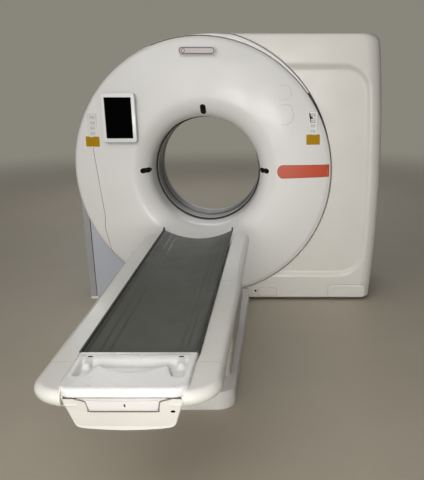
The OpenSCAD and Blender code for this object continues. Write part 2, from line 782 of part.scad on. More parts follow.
// Beam under the tabletop
carrier_w = 280;
module table_carrier() {
    color([0.62, 0.64, 0.66]) {
        translate([-carrier_w / 2, end_y + 60, carrier_low]) cube([carrier_w, -end_y - 60 - head_d - 60, carrier_top - carrier_low]);
        translate([-lift_w / 2 + 20, -lift_foot_d + 20, carrier_low]) cube([lift_w - 40, lift_foot_d - lift_head_d - 40, 12]);
        for (y = arm_places, s = [-1, 1])
            translate([s > 0 ? carrier_w / 2 - 1 : -arm_reach, y, carrier_low + 30])
                cube([arm_reach - carrier_w / 2 + 1, arm_w, surround_z - surround_t - carrier_low - 30]);
        for (s = [-1, 1]) translate([s * rail_x - rail_w / 2, end_y + 70, carrier_top]) cube([rail_w, -end_y - 70 - head_d - 70, 10]);
    }
}

// White frame round the tabletop, open at the head end
module rim_profile(w) {
    r = surround_t / 2;
    square([w - r, surround_t]);
    translate([w - r, r]) circle(r, $fn = 64);
}
module surround_half() {
    hw = surround_w / 2;
    head_y = -head_d - 36;
    translate([0, 0, surround_z - surround_t]) {
        translate([surround_in, head_y - head_corner, 0]) rotate([90, 0, 0])
            linear_extrude(-end_y + head_y - foot_corner - head_corner) rim_profile(hw - surround_in);
        translate([hw - foot_corner, end_y + foot_corner, 0]) rotate([0, 0, -90])
            rotate_extrude(angle = 90) rim_profile(foot_corner);
        translate([hw - foot_corner, end_y + foot_corner, 0]) rotate([90, 0, -90])
            linear_extrude(hw - foot_corner - surround_in) rim_profile(foot_corner);
        translate([hw - head_corner, head_y - head_corner, 0])
            rotate_extrude(angle = 90) rim_profile(head_corner);
        translate([surround_in, head_y - head_corner, 0]) rotate([90, 0, 90])
            linear_extrude(hw - head_corner - surround_in) rim_profile(head_corner);
    }
}
module channel_plan(gap) {
    polygon([[-cradle_w / 2 - gap, foot_y + 20], [-cradle_w / 2 - gap, 0], [cradle_w / 2 + gap, 0],
             [cradle_w / 2 + gap, foot_y + 20], [foot_end_w / 2 + gap, end_y - 60], [-foot_end_w / 2 - gap, end_y - 60]]);
}
foot_end_w = 376;
surround_in = 150;
module table_surround() {
    color([0.88, 0.86, 0.82]) difference() {
        union() {
            surround_half();
            mirror([1, 0, 0]) surround_half();
        }
        translate([0, 0, surround_z - surround_t + 6]) linear_extrude(surround_t) channel_plan(slide_gap);
        translate([-148, end_y - 60, surround_z - surround_t - 1]) cube([296, -end_y, surround_t]);
    }
}

// Concave grey patient surface
module cradle_section() {
    intersection() {
        translate([0, axis_z]) circle(r = cradle_bottom_r, $fn = 256);
        difference() {
            translate([-cradle_w / 2, 0]) square([cradle_w, top_z + lip_h]);
            translate([0, cradle_top_z + cradle_top_r]) circle(r = cradle_top_r, $fn = 256);
            translate([-cradle_w / 2 + lip_w, top_z - 6]) square([cradle_w - 2 * lip_w, big]);
        }
    }
}
module tabletop_cradle() {
    color([0.33, 0.34, 0.33]) translate([0, -head_d, 0]) rotate([90, 0, 0]) linear_extrude(cradle_l) cradle_section();
}
// White foot cover of the tabletop: a tray with an apron that hangs over the end
apron_t = 26;
apron_low = 566;
tray_low = surround_z - 34;
pocket_low = tray_low + 5;
module apron_outline(grow) {
    polygon([for (p = [[-188, 634], [-188, 622], [-172, 613], [-122, 603], [-112, apron_low],
                       [112, apron_low], [122, 603], [172, 613], [188, 622], [188, 634]])
             [p[0] + sign(p[0]) * grow, p[1] - (p[1] < 630 ? grow : 0)]]);
}
module pocket_plan() {
    hull_w = 330;
    translate([0, foot_y - 122]) round_rect(hull_w, 140, 26);
}
module tabletop_foot() {
    color([0.92, 0.91, 0.89]) {
        difference() {
            translate([0, 0, tray_low]) linear_extrude(top_z - tray_low) intersection() {
                channel_plan(0);
                translate([-big / 2, end_y]) square([big, foot_l]);
            }
            translate([0, 0, pocket_low]) linear_extrude(big) pocket_plan();
            slab(-end_y - belly_t - 2, -end_y + 1) difference() {
                translate([-big / 2, 0]) square([big, top_z]);
                apron_outline(0);
            }
        }
        intersection() {
            slab(-end_y - apron_t, -end_y) apron_outline(0);
            translate([-big / 2, -big, 0]) cube([big, big, top_z]);
        }
    }
}
// Linear guide shoes under the tabletop
module slide_carriage() {
    color([0.35, 0.36, 0.38]) for (s = [-1, 1])
        translate([0, foot_y + 560, 0]) rotate([90, 0, 0]) linear_extrude(540) difference() {
            translate([s * rail_x - 26, carrier_top + 2]) square([52, 60]);
            translate([0, axis_z]) circle(r = cradle_bottom_r, $fn = 256);
            translate([s * rail_x - rail_w / 2 - 0.3, carrier_top]) square([rail_w + 0.6, 10.3]);
        }
}
// Underside cover from the foot end to the lift covers
module belly_outline(inset) {
    w = belly_w / 2 - inset;
    z0 = carrier_low - belly_t + inset;
    polygon([[-w, surround_z - surround_t], [-w + 18, z0 + 34], [-w + 38, z0], [w - 38, z0], [w - 18, z0 + 34], [w, surround_z - surround_t]]);
}
module belly_cover() {
    color([0.90, 0.89, 0.86]) {
        difference() {
            slab(lift_foot_d + 2, -end_y) difference() {
                belly_outline(0);
                belly_outline(belly_t);
                translate([-big / 2, surround_z - surround_t - 0.3]) square([big, big]);
            }
            for (y = arm_places)
                translate([-arm_reach, y - 1, carrier_low + 29]) cube([2 * arm_reach, arm_w + 2, big]);
        }
        slab(-end_y - belly_t, -end_y) difference() {
            union() {
                belly_outline(0);
                translate([-foot_end_w / 2 + 1, surround_z - surround_t - 1]) square([foot_end_w - 2, 42]);
            }
            apron_outline(3);
        }
    }
}

front_cover();
right_housing();
left_corner_panel();
left_front_panel();
rim_cover();
rear_cover();
bore_liner_front();
scan_window();
bore_liner_rear();
bore_seal_ring();
base_frame();
levelling_feet();
floor_plate();
stator_frame();
bearing_outer_ring();
bearing_balls();
bearing_inner_ring();
rotor_drum();
xray_tube();
beam_collimator();
detector_arc();
high_voltage_generator();
cooling_unit();
counterweights();
slip_ring();
drive_motor();
motor_pulley();
drive_belt();
power_cabinet();
status_light_housing();
status_light_lens();
tablet_dock();
tablet_body();
tablet_screen();
laser_windows();
left_control_strip();
right_control_strip();
left_key_1();
left_key_2();
left_key_3();
left_key_4();
right_key_1();
right_key_2();
right_key_3();
right_key_4();
service_flap();
cable_cover();
table_plinth();
lift_cover_lower();
lift_cover_middle();
lift_cover_upper();
lift_columns();
table_carrier();
table_surround();
tabletop_cradle();
tabletop_foot();
lift_tubes();
lift_rods();
belly_cover();
slide_carriage();
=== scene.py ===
# %% [markdown]
# # A CT scanner, dressed on its CAD frame
# A CT scanner is a ring-shaped gantry with a hole through it and a table that carries a person into the hole.
# The solid parts come from a CAD model. Blender adds what CAD has no words for: soft edges, moulded skins,
# thin seams, painted fields and the way light sits on satin plastic. The CAD parts are never moved; each new
# piece is built where the CAD says it belongs.

# %% Load the frame
import json
import math

import bmesh
import bpy
from mathutils import Matrix, Vector


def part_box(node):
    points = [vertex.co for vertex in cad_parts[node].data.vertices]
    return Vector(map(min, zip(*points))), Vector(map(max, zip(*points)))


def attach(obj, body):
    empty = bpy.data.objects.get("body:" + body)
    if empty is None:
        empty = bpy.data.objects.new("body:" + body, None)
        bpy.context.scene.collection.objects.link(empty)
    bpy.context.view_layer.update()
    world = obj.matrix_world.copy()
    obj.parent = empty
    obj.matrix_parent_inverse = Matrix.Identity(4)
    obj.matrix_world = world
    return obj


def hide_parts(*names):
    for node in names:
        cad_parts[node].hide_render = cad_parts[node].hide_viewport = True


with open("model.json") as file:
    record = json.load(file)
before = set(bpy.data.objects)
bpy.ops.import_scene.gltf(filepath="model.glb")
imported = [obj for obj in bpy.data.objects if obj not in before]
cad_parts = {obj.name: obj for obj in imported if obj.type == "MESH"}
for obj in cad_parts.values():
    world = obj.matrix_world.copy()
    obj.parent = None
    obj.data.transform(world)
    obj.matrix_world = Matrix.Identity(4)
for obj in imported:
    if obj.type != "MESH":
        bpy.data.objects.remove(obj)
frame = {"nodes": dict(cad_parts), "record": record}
nodes = frame["nodes"]
body_of_node = {n: b for b, names in frame["record"]["behaviour"]["bodies"].items() for n in names}
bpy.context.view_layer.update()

# %% [markdown]
# ## The camera
# The photograph fixes the camera. Six straight edges and the bore's ellipse were matched to known sizes,
# which gave a focal length of 680 pixels, a height of 1.63 m and a pitch of 19.6 degrees down. The picture
# was cropped off centre, so the lens is shifted. The sensor is as high as the picture, 36 mm for 480 pixels.

# %% Camera at the photograph's place
PICTURE_W, PICTURE_H = 424, 480
FOCAL_PX = 680.0
CENTRE_PX = (281.98, 298.84)
SENSOR_MM = 36.0
PITCH_DOWN = 19.563
CAMERA_PLACE = (0.513, -4.902, 1.628)


def place_camera():
    data = bpy.data.cameras.new("photo_view")
    data.sensor_fit = "VERTICAL"
    data.sensor_height = SENSOR_MM
    data.lens = FOCAL_PX * SENSOR_MM / PICTURE_H
    data.shift_x = (PICTURE_W / 2 - CENTRE_PX[0]) / PICTURE_H
    data.shift_y = (CENTRE_PX[1] - PICTURE_H / 2) / PICTURE_H
    camera = bpy.data.objects.new("photo_view", data)
    bpy.context.scene.collection.objects.link(camera)
    camera.location = CAMERA_PLACE
    camera.rotation_euler = (math.radians(90 - PITCH_DOWN), 0, 0)
    bpy.context.scene.camera = camera
    return data


lens = place_camera()
print("lens", round(lens.lens, 2), "mm, shift", round(lens.shift_x, 4), round(lens.shift_y, 4))

# %% [markdown]
# ## The floor
# A plain pale floor keeps the eye on the object. One huge plane would end in a hard horizon. This floor is a
# disc instead, and its material turns clear with distance, so that it melts into the room from any side.


# %% Two helpers for node trees
def link_nodes(tree, links):
    """Each link runs from an output of one node to an input of another, by name or by number."""
    for giver, output, taker, entry in links:
        tree.links.new(giver.outputs[output], taker.inputs[entry])


def node_of(tree, kind, at=(0, 0), settings=None, **sockets):
    """A node at its place in the tree; the settings come first, because some of them change the sockets."""
    made = tree.nodes.new(kind)
    made.location = at
    for name, value in (settings or {}).items():
        setattr(made, name, value)
    for name, value in sockets.items():
        made.inputs[name.replace("_", " ")].default_value = value
    return made


# %% A round floor that fades out
FLOOR_R, FLOOR_Z = 9.0, -0.001
SOFT_STEP = {"interpolation_type": "SMOOTHSTEP"}


def oval(x, z, across, up, steps):
    """Points round an oval, anticlockwise from its right end."""
    turns = [2 * math.pi * k / steps for k in range(steps)]
    return [(x + across * math.cos(a), z + up * math.sin(a)) for a in turns]


def floor_material():
    made = bpy.data.materials.new("pale_floor")
    made.use_nodes = True
    tree = made.node_tree
    skin = tree.nodes["Principled BSDF"]
    skin.inputs["Roughness"].default_value = 0.55
    place = node_of(tree, "ShaderNodeTexCoord", (-1100, 0))
    speck = node_of(tree, "ShaderNodeTexNoise", (-900, 200), Scale=3.0, Detail=6.0)
    ramp = node_of(tree, "ShaderNodeValToRGB", (-600, 200))
    ramp.color_ramp.elements[0].color = (0.475, 0.425, 0.335, 1)
    ramp.color_ramp.elements[1].color = (0.530, 0.478, 0.382, 1)
    length = node_of(tree, "ShaderNodeVectorMath", (-900, -200), {"operation": "LENGTH"})
    fade = node_of(tree, "ShaderNodeMapRange", (-600, -200), SOFT_STEP,
                   From_Min=4.0, From_Max=8.5, To_Min=1.0, To_Max=0.0)
    link_nodes(tree, [
        (place, "Object", speck, "Vector"),
        (speck, "Fac", ramp, "Fac"),
        (ramp, "Color", skin, "Base Color"),
        (place, "Object", length, 0),
        (length, "Value", fade, "Value"),
        (fade, "Result", skin, "Alpha"),
    ])
    return made


def lay_floor(steps=96):
    points = [(x, y, FLOOR_Z) for x, y in oval(0, 0, FLOOR_R, FLOOR_R, steps)]
    mesh = bpy.data.meshes.new("floor")
    mesh.from_pydata(points, [], [list(range(steps))])
    mesh.materials.append(floor_material())
    made = bpy.data.objects.new("floor", mesh)
    bpy.context.scene.collection.objects.link(made)
    print("floor radius", FLOOR_R, "m")


lay_floor()

# %% [markdown]
# ## The lamps
# The room in the photograph has a luminous ceiling and light from the camera's side. It could be copied lamp
# by lamp, but a few large soft lamps give the same shades and are easy to change. One wide panel hangs high
# in front of the table, and a small lamp lights the cover's crown. Lower in front are a wide fill, a lamp for
# the table's foot and one with a narrow beam for the cover's lower right. The last keeps the back readable.


# %% Six soft lamps
def soft_lamp(name, place, aim, size, power, colour, beam=180):
    """An oblong lamp, with its place, aim and size in metres, its power in watts and its beam in degrees."""
    data = bpy.data.lights.new(name, "AREA")
    data.shape = "RECTANGLE"
    data.size, data.size_y = size
    data.energy = power
    data.color = colour
    data.spread = math.radians(beam)
    made = bpy.data.objects.new(name, data)
    bpy.context.scene.collection.objects.link(made)
    made.location = place
    made.rotation_euler = (Vector(aim) - Vector(place)).to_track_quat("-Z", "Y").to_euler()
    print(name, power, "W")


soft_lamp("ceiling_panel", (-0.4, -4.7, 3.4), (-0.1, -3.5, 0.5), (3.6, 2.0), 54, (1.0, 0.985, 0.94))
soft_lamp("left_ceiling_lamp", (-1.7, -2.3, 3.1), (0.0, -0.35, 1.45), (0.6, 0.6), 5, (1.0, 0.985, 0.95))
soft_lamp("front_fill", (-0.3, -7.2, 1.9), (0.1, -1.2, 0.8), (3.4, 2.0), 26, (1.0, 0.975, 0.93))
soft_lamp("front_beam", (0.5, -7.0, 1.3), (0.40, -0.4, 0.50), (1.6, 1.0), 7.5, (1.0, 0.98, 0.94), beam=45)
soft_lamp("low_front", (-0.3, -5.4, 1.9), (0.0, -2.9, 0.55), (2.6, 1.3), 9, (1.0, 0.985, 0.96))
soft_lamp("rear_fill", (-0.5, 4.5, 3.2), (0.0, 0.4, 0.8), (4.0, 2.0), 60, (0.97, 0.98, 1.0))

# %% [markdown]
# ## The room's own light
# Walls and ceiling throw light back from all sides, and more of it on the camera's side. A built room would
# do that, and would also stand in the way of other views. So the world itself is brighter towards one side,
# and what the camera sees of it is one plain colour.

# %% A grey world, brighter towards the camera
WORLD_DIM, WORLD_BRIGHT = 0.05, 0.46
BRIGHT_SIDE = (-0.35, -0.90, -0.10)
SEEN_COLOUR = (0.250, 0.238, 0.200, 1)


def grey_world():
    world = bpy.data.worlds.new("studio")
    bpy.context.scene.world = world
    world.use_nodes = True
    tree = world.node_tree
    tree.nodes.clear()
    out = node_of(tree, "ShaderNodeOutputWorld", (500, 0))
    place = node_of(tree, "ShaderNodeTexCoord", (-700, 100))
    facing = node_of(tree, "ShaderNodeVectorMath", (-500, 100), {"operation": "DOT_PRODUCT"})
    facing.inputs[1].default_value = BRIGHT_SIDE
    strength = node_of(tree, "ShaderNodeMapRange", (-300, 100),
                       From_Min=-0.35, From_Max=0.9, To_Min=WORLD_DIM, To_Max=WORLD_BRIGHT)
    lit = node_of(tree, "ShaderNodeBackground", (0, 100), Color=(0.97, 0.97, 1.0, 1))
    shown = node_of(tree, "ShaderNodeBackground", (0, -100), Color=SEEN_COLOUR, Strength=1.0)
    which = node_of(tree, "ShaderNodeLightPath", (0, 400))
    mix = node_of(tree, "ShaderNodeMixShader", (250, 0))
    link_nodes(tree, [
        (place, "Generated", facing, 0),
        (facing, "Value", strength, "Value"),
        (strength, "Result", lit, "Strength"),
        (which, "Is Camera Ray", mix, 0),
        (lit, 0, mix, 1),
        (shown, 0, mix, 2),
        (mix, 0, out, 0),
    ])


grey_world()
bpy.context.scene.view_settings.view_transform = "Standard"
bpy.context.scene.view_settings.look = "None"
print("the world's strength runs from", WORLD_DIM, "to", WORLD_BRIGHT)

# %% [markdown]
# ## Effects that several finishes share
# A moulded skin is never one flat colour. It has a grain too fine to see but wide enough to blur a highlight,
# a slow drift in tone, and dust that gathers near the floor. Each of these could be drawn into every finish
# anew. Here they are node groups with named inputs, so that each finish uses the same effect at its own
# strength.

# %% Helpers for node groups
FLOAT, COLOUR, INT = "NodeSocketFloat", "NodeSocketColor", "NodeSocketInt"
MATERIAL, GEOMETRY = "NodeSocketMaterial", "NodeSocketGeometry"
BLEND_COLOURS = {"data_type": "RGBA"}


def new_group(name, kind, inputs, outputs):
    """An empty node group, with the nodes for what is given and what results."""
    tree = bpy.data.node_groups.new(name, kind)
    for label, socket_kind, value in inputs:
        socket = tree.interface.new_socket(name=label, in_out="INPUT", socket_type=socket_kind)
        if value is not None:
            socket.default_value = value
    for label, socket_kind in outputs:
        tree.interface.new_socket(name=label, in_out="OUTPUT", socket_type=socket_kind)
    return tree, tree.nodes.new("NodeGroupInput"), tree.nodes.new("NodeGroupOutput")


def math_of(tree, operation, at, second=None):
    """A node that calculates; its second value may be a fixed one."""
    made = node_of(tree, "ShaderNodeMath", at, {"operation": operation})
    if second is not None:
        made.inputs[1].default_value = second
    return made


# %% Moulded skin: drift in tone, grain and floor dust
def moulded_skin_group():
    tree, given, result = new_group(
        "Moulded skin", "ShaderNodeTree",
        [("Tone", COLOUR, (0.8, 0.8, 0.8, 1)), ("Shade", COLOUR, (0.7, 0.7, 0.7, 1)),
         ("Dust", COLOUR, (0.5, 0.47, 0.42, 1)), ("Dust height", FLOAT, 0.25), ("Dust amount", FLOAT, 0.2),
         ("Grain scale", FLOAT, 900.0), ("Smoothest", FLOAT, 0.35), ("Roughest", FLOAT, 0.5)],
        [("Colour", COLOUR), ("Roughness", FLOAT), ("Height", FLOAT)])
    place = node_of(tree, "ShaderNodeTexCoord", (-1200, 0))
    drift = node_of(tree, "ShaderNodeTexNoise", (-900, 250), Scale=1.7, Detail=3.0, Roughness=0.5)
    grain = node_of(tree, "ShaderNodeTexNoise", (-900, -50), Detail=2.0)
    smear = node_of(tree, "ShaderNodeTexNoise", (-900, -350), Scale=9.0, Detail=4.0)
    axes = node_of(tree, "ShaderNodeSeparateXYZ", (-900, -600))
    drift_mask = node_of(tree, "ShaderNodeMapRange", (-600, 250),
                         From_Min=0.35, From_Max=0.65, To_Min=0.0, To_Max=1.0)
    tone = node_of(tree, "ShaderNodeMix", (-300, 250), BLEND_COLOURS)
    low = node_of(tree, "ShaderNodeMapRange", (-600, -600), SOFT_STEP, From_Min=0.0, To_Min=1.0, To_Max=0.0)
    patchy = math_of(tree, "MULTIPLY", (-350, -500))
    amount = math_of(tree, "MULTIPLY", (-150, -500))
    dusty = node_of(tree, "ShaderNodeMix", (50, 200), BLEND_COLOURS)
    rough = node_of(tree, "ShaderNodeMapRange", (50, -200), From_Min=0.3, From_Max=0.7)
    link_nodes(tree, [
        (place, "Object", drift, "Vector"),
        (place, "Object", grain, "Vector"),
        (place, "Object", smear, "Vector"),
        (place, "Object", axes, 0),
        (given, "Grain scale", grain, "Scale"),
        (drift, "Fac", drift_mask, "Value"),
        (drift_mask, "Result", tone, "Factor"),
        (given, "Tone", tone, "A"),
        (given, "Shade", tone, "B"),
        (axes, "Z", low, "Value"),
        (given, "Dust height", low, "From Max"),
        (low, "Result", patchy, 0),
        (smear, "Fac", patchy, 1),
        (patchy, 0, amount, 0),
        (given, "Dust amount", amount, 1),
        (amount, 0, dusty, "Factor"),
        (tone, "Result", dusty, "A"),
        (given, "Dust", dusty, "B"),
        (dusty, "Result", result, "Colour"),
        (smear, "Fac", rough, "Value"),
        (given, "Smoothest", rough, "To Min"),
        (given, "Roughest", rough, "To Max"),
        (rough, "Result", result, "Roughness"),
        (grain, "Fac", result, "Height"),
    ])
    return tree


moulded_skin = moulded_skin_group()
print("group:", moulded_skin.name, "with", len(moulded_skin.nodes), "nodes")


# %% Worked metal: fine lines along one axis
def worked_metal_group():
    tree, given, result = new_group(
        "Worked metal", "ShaderNodeTree",
        [("Tone", COLOUR, (0.6, 0.6, 0.6, 1)), ("Stain", COLOUR, (0.4, 0.4, 0.4, 1)),
         ("Line scale", FLOAT, 60.0), ("Smoothest", FLOAT, 0.25), ("Roughest", FLOAT, 0.45)],
        [("Colour", COLOUR), ("Roughness", FLOAT), ("Height", FLOAT)])
    place = node_of(tree, "ShaderNodeTexCoord", (-1200, 0))
    stretch = node_of(tree, "ShaderNodeMapping", (-1000, -100), Scale=(1.0, 0.06, 1.0))
    lines = node_of(tree, "ShaderNodeTexNoise", (-700, -100), Detail=3.0)
    cloud = node_of(tree, "ShaderNodeTexNoise", (-700, 250), Scale=5.0, Detail=5.0)
    mix = node_of(tree, "ShaderNodeMix", (-200, 250), BLEND_COLOURS)
    rough = node_of(tree, "ShaderNodeMapRange", (-200, -100), From_Min=0.3, From_Max=0.7)
    link_nodes(tree, [
        (place, "Object", stretch, "Vector"),
        (stretch, "Vector", lines, "Vector"),
        (given, "Line scale", lines, "Scale"),
        (place, "Object", cloud, "Vector"),
        (cloud, "Fac", mix, "Factor"),
        (given, "Tone", mix, "A"),
        (given, "Stain", mix, "B"),
        (mix, "Result", result, "Colour"),
        (lines, "Fac", rough, "Value"),
        (given, "Smoothest", rough, "To Min"),
        (given, "Roughest", rough, "To Max"),
        (rough, "Result", result, "Roughness"),
        (lines, "Fac", result, "Height"),
    ])
    return tree


worked_metal = worked_metal_group()
print("group:", worked_metal.name, "with", len(worked_metal.nodes), "nodes")

# %% [markdown]
# ## The finishes
# The covers are painted mouldings, the frames are powder coated, and the bearings and rods are bare metal.
# Each finish could be built by hand. One function that takes a tone, a range of roughness and the few values
# that differ is shorter, and keeps the finishes alike in kind.


# %% A finish is a group with its values
def finish_with(group, name, values, bump, fixed):
    made = bpy.data.materials.new(name)
    made.use_nodes = True
    tree = made.node_tree
    skin = tree.nodes["Principled BSDF"]
    effect = node_of(tree, "ShaderNodeGroup", (-500, 100), {"node_tree": group})
    for node, inputs in ((skin, fixed), (effect, values)):
        for socket, value in inputs.items():
            node.inputs[socket].default_value = value
    relief = node_of(tree, "ShaderNodeBump", (-250, -200), Strength=bump, Distance=0.0004)
    link_nodes(tree, [
        (effect, "Colour", skin, "Base Color"),
        (effect, "Roughness", skin, "Roughness"),
        (effect, "Height", relief, "Height"),
        (relief, "Normal", skin, "Normal"),
    ])
    return made


def moulded(name, tone, shade=None, smooth=(0.32, 0.46), grain=900.0, bump=0.12, dust=0.25, coat=0.0,
            extra=None):
    shade = shade or tuple(v * 0.955 for v in tone)
    values = {"Tone": (*tone, 1), "Shade": (*shade, 1), "Grain scale": grain, "Smoothest": smooth[0],
              "Roughest": smooth[1], "Dust amount": dust}
    fixed = {"Coat Weight": coat, "Coat Roughness": 0.12, **(extra or {})}
    return finish_with(moulded_skin, name, values, bump, fixed)


def metal(name, tone, smooth=(0.28, 0.46)):
    stain = tuple(v * 0.8 for v in tone)
    values = {"Tone": (*tone, 1), "Stain": (*stain, 1), "Line scale": 60.0, "Smoothest": smooth[0],
              "Roughest": smooth[1]}
    return finish_with(worked_metal, name, values, 0.15, {"Metallic": 1.0})


# %% The finishes of the CAD parts
satin_white = moulded("satin_white_cover", (0.80, 0.79, 0.765), coat=0.12)
satin_beige = moulded("satin_beige_housing", (0.73, 0.71, 0.66), coat=0.08)
blue_grey = moulded("blue_grey_panel", (0.47, 0.495, 0.55), smooth=(0.42, 0.55))
corner_grey = moulded("corner_panel_grey", (0.34, 0.345, 0.35), smooth=(0.42, 0.55))
# The bore's liner is a light moulding; this finish is much darker, painted shade for the inside of the bore.
liner_grey = moulded("liner_grey", (0.25, 0.24, 0.215), smooth=(0.4, 0.5), dust=0.0)
window_film = moulded("window_film", (0.16, 0.16, 0.16), smooth=(0.18, 0.26), dust=0.0)
soft_rubber = moulded("soft_rubber", (0.022, 0.022, 0.023), smooth=(0.6, 0.75), bump=0.3)
frame_paint = moulded("frame_powder_coat", (0.15, 0.165, 0.185), smooth=(0.4, 0.55), grain=500.0, bump=0.35)
box_paint = moulded("module_paint", (0.34, 0.36, 0.385), smooth=(0.38, 0.5), grain=600.0, bump=0.2, dust=0.0)
cast_iron = moulded("cast_iron_dark", (0.045, 0.046, 0.05), smooth=(0.5, 0.7), grain=260.0, bump=0.6,
                    extra={"Metallic": 0.4})
ground_steel = metal("ground_steel", (0.56, 0.57, 0.58))
machined_aluminium = metal("machined_aluminium", (0.72, 0.73, 0.74), smooth=(0.22, 0.38))
contact_copper = metal("contact_copper", (0.80, 0.47, 0.27), smooth=(0.2, 0.35))
case_white = moulded("tablet_case_white", (0.84, 0.84, 0.83), smooth=(0.25, 0.35), dust=0.0, coat=0.2)
screen_black = moulded("screen_black", (0.0015, 0.0015, 0.0015), smooth=(0.22, 0.30), bump=0.0, dust=0.0,
                       extra={"Specular IOR Level": 0.0})
# Nearly black: the laser windows' dark film, and painted shade in holes, slots and recesses.
dark_film_and_hole_shade = moulded("dark_film_and_hole_shade", (0.005, 0.005, 0.005), smooth=(0.2, 0.3), bump=0.0, dust=0.0,
                      extra={"Specular IOR Level": 0.2})
key_grey = moulded("key_grey", (0.72, 0.715, 0.70), smooth=(0.5, 0.62), dust=0.0)
lift_beige = moulded("lift_cover_beige", (0.54, 0.525, 0.47), smooth=(0.4, 0.55), dust=0.35)
surround_cream = moulded("surround_cream", (0.80, 0.785, 0.73), smooth=(0.28, 0.4), coat=0.15)
foot_white = moulded("foot_cover_white", (0.86, 0.85, 0.83), smooth=(0.22, 0.32), coat=0.3, dust=0.0)
cradle_skin = moulded("cradle_grey_green", (0.132, 0.135, 0.119), (0.118, 0.121, 0.106), smooth=(0.50, 0.62),
                      grain=700.0, bump=0.25, dust=0.0, extra={"Specular IOR Level": 0.3})
print(len(bpy.data.materials), "materials so far")

# %% Which finish each CAD part gets
key_names = [f"{side}_key_{i}" for side in ("left", "right") for i in range(1, 5)]
finish_of = {
    satin_white: "front_cover rim_cover rear_cover tablet_dock left_control_strip right_control_strip "
                 "table_plinth",
    satin_beige: "right_housing service_flap cable_cover",
    blue_grey: "left_front_panel",
    corner_grey: "left_corner_panel",
    liner_grey: "bore_liner_front bore_liner_rear",
    window_film: "scan_window",
    soft_rubber: "bore_seal_ring drive_belt",
    frame_paint: "base_frame stator_frame",
    box_paint: "xray_tube detector_arc high_voltage_generator cooling_unit power_cabinet table_carrier",
    cast_iron: "levelling_feet beam_collimator counterweights drive_motor",
    ground_steel: "floor_plate bearing_outer_ring bearing_balls bearing_inner_ring lift_columns lift_tubes "
                  "lift_rods",
    machined_aluminium: "rotor_drum motor_pulley slide_carriage",
    contact_copper: "slip_ring",
    case_white: "status_light_housing status_light_lens tablet_body",
    screen_black: "tablet_screen",
    dark_film_and_hole_shade: "laser_windows",
    key_grey: " ".join(key_names),
    lift_beige: "lift_cover_lower lift_cover_middle lift_cover_upper",
    surround_cream: "table_surround belly_cover",
    foot_white: "tabletop_foot",
    cradle_skin: "tabletop_cradle",
}
finish_by_node = {node: material for material, names in finish_of.items() for node in names.split()}
for name, part in nodes.items():
    part.data.materials.clear()
    part.data.materials.append(finish_by_node[name])
print(len(finish_by_node), "parts have a finish")

# %% [markdown]
# ## Pieces tied to the frame
# A new piece has to move with the mechanism and to take a material. The material comes with the piece when it
# is made. The body could be told each time. But every piece here lies on a CAD part or stands in for one, so
# one helper takes the body from that part, by its name, and prints what was made.


# %% Making a piece and tying it to a part
def new_piece(name, points, faces, material=None, smooth=True):
    mesh = bpy.data.meshes.new(name)
    mesh.from_pydata(points, [], faces)
    if material:
        mesh.materials.append(material)
    if smooth:
        mesh.shade_smooth()
    made = bpy.data.objects.new(name, mesh)
    bpy.context.scene.collection.objects.link(made)
    return made


def ride_like(piece, node, replace=False):
    """Gives a piece the body of a CAD part, which it may also stand in for."""
    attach(piece, body_of_node[node])
    if replace:
        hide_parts(node)
    places = [v.co for v in piece.data.vertices]
    corners = [[round(1000 * end(p[i] for p in places)) for i in range(3)] for end in (min, max)]
    print(piece.name, len(places), "points, from", corners[0], "to", corners[1], "mm")
    return piece


# %% [markdown]
# ## Softened copies
# A CAD solid has knife edges, and a real moulding never does. The edges could be rounded in CAD, at the cost
# of many small faces in every check. Here a copy of the part's mesh is merged into one skin, flat areas are
# joined, and a small bevel rounds the edges, so that they catch light.

# %% Copy a part's mesh and soften it
WELD, FLAT_ANGLE, BEVEL_ANGLE, BEVEL_STEPS = 2e-5, 0.4, 30.0, 2
SOFT_WIDTHS = {
    "table_surround": 0.006, "table_plinth": 0.005, "lift_cover_upper": 0.0015, "lift_cover_middle": 0.0015,
    "lift_cover_lower": 0.0015, "tablet_dock": 0.006, "status_light_housing": 0.006,
    "left_control_strip": 0.0025, "right_control_strip": 0.0025, "left_corner_panel": 0.004,
    "left_front_panel": 0.0015, "rim_cover": 0.003, "levelling_feet": 0.002, "power_cabinet": 0.003,
    "tabletop_cradle": 0.002, **dict.fromkeys(key_names, 0.0012),
}


def bevelled(piece, width):
    piece.data.shade_smooth()
    bevel = piece.modifiers.new("soft_edges", "BEVEL")
    bevel.width = width
    bevel.segments = BEVEL_STEPS
    bevel.limit_method = "ANGLE"
    bevel.angle_limit = math.radians(BEVEL_ANGLE)
    bevel.use_clamp_overlap = True
    even = piece.modifiers.new("even_normals", "WEIGHTED_NORMAL")
    even.keep_sharp = False
    return piece


def softened(node, width):
    bm = bmesh.new()
    bm.from_mesh(nodes[node].data)
    bmesh.ops.remove_doubles(bm, verts=bm.verts, dist=WELD)
    bmesh.ops.dissolve_limit(bm, angle_limit=math.radians(FLAT_ANGLE), verts=bm.verts, edges=bm.edges)
    bm.verts.index_update()
    piece = new_piece("soft_" + node, [v.co[:] for v in bm.verts],
                      [[v.index for v in f.verts] for f in bm.faces], finish_by_node[node])
    bm.free()
    return ride_like(bevelled(piece, width), node, replace=True)


for node, width in SOFT_WIDTHS.items():
    softened(node, width)

# %% [markdown]
# ## The moulded front cover
# The front is one big moulding. A short throat rolls over a tight mouth into a shallow dome, and a wide cone
# cuts the top of the dome, which leaves the crease above the bore. It could be sculpted, but then nothing
# laid on it would know where it is. So all of it follows one rule, and the mesh is a polar grid round the
# bore whose depth comes from that rule.

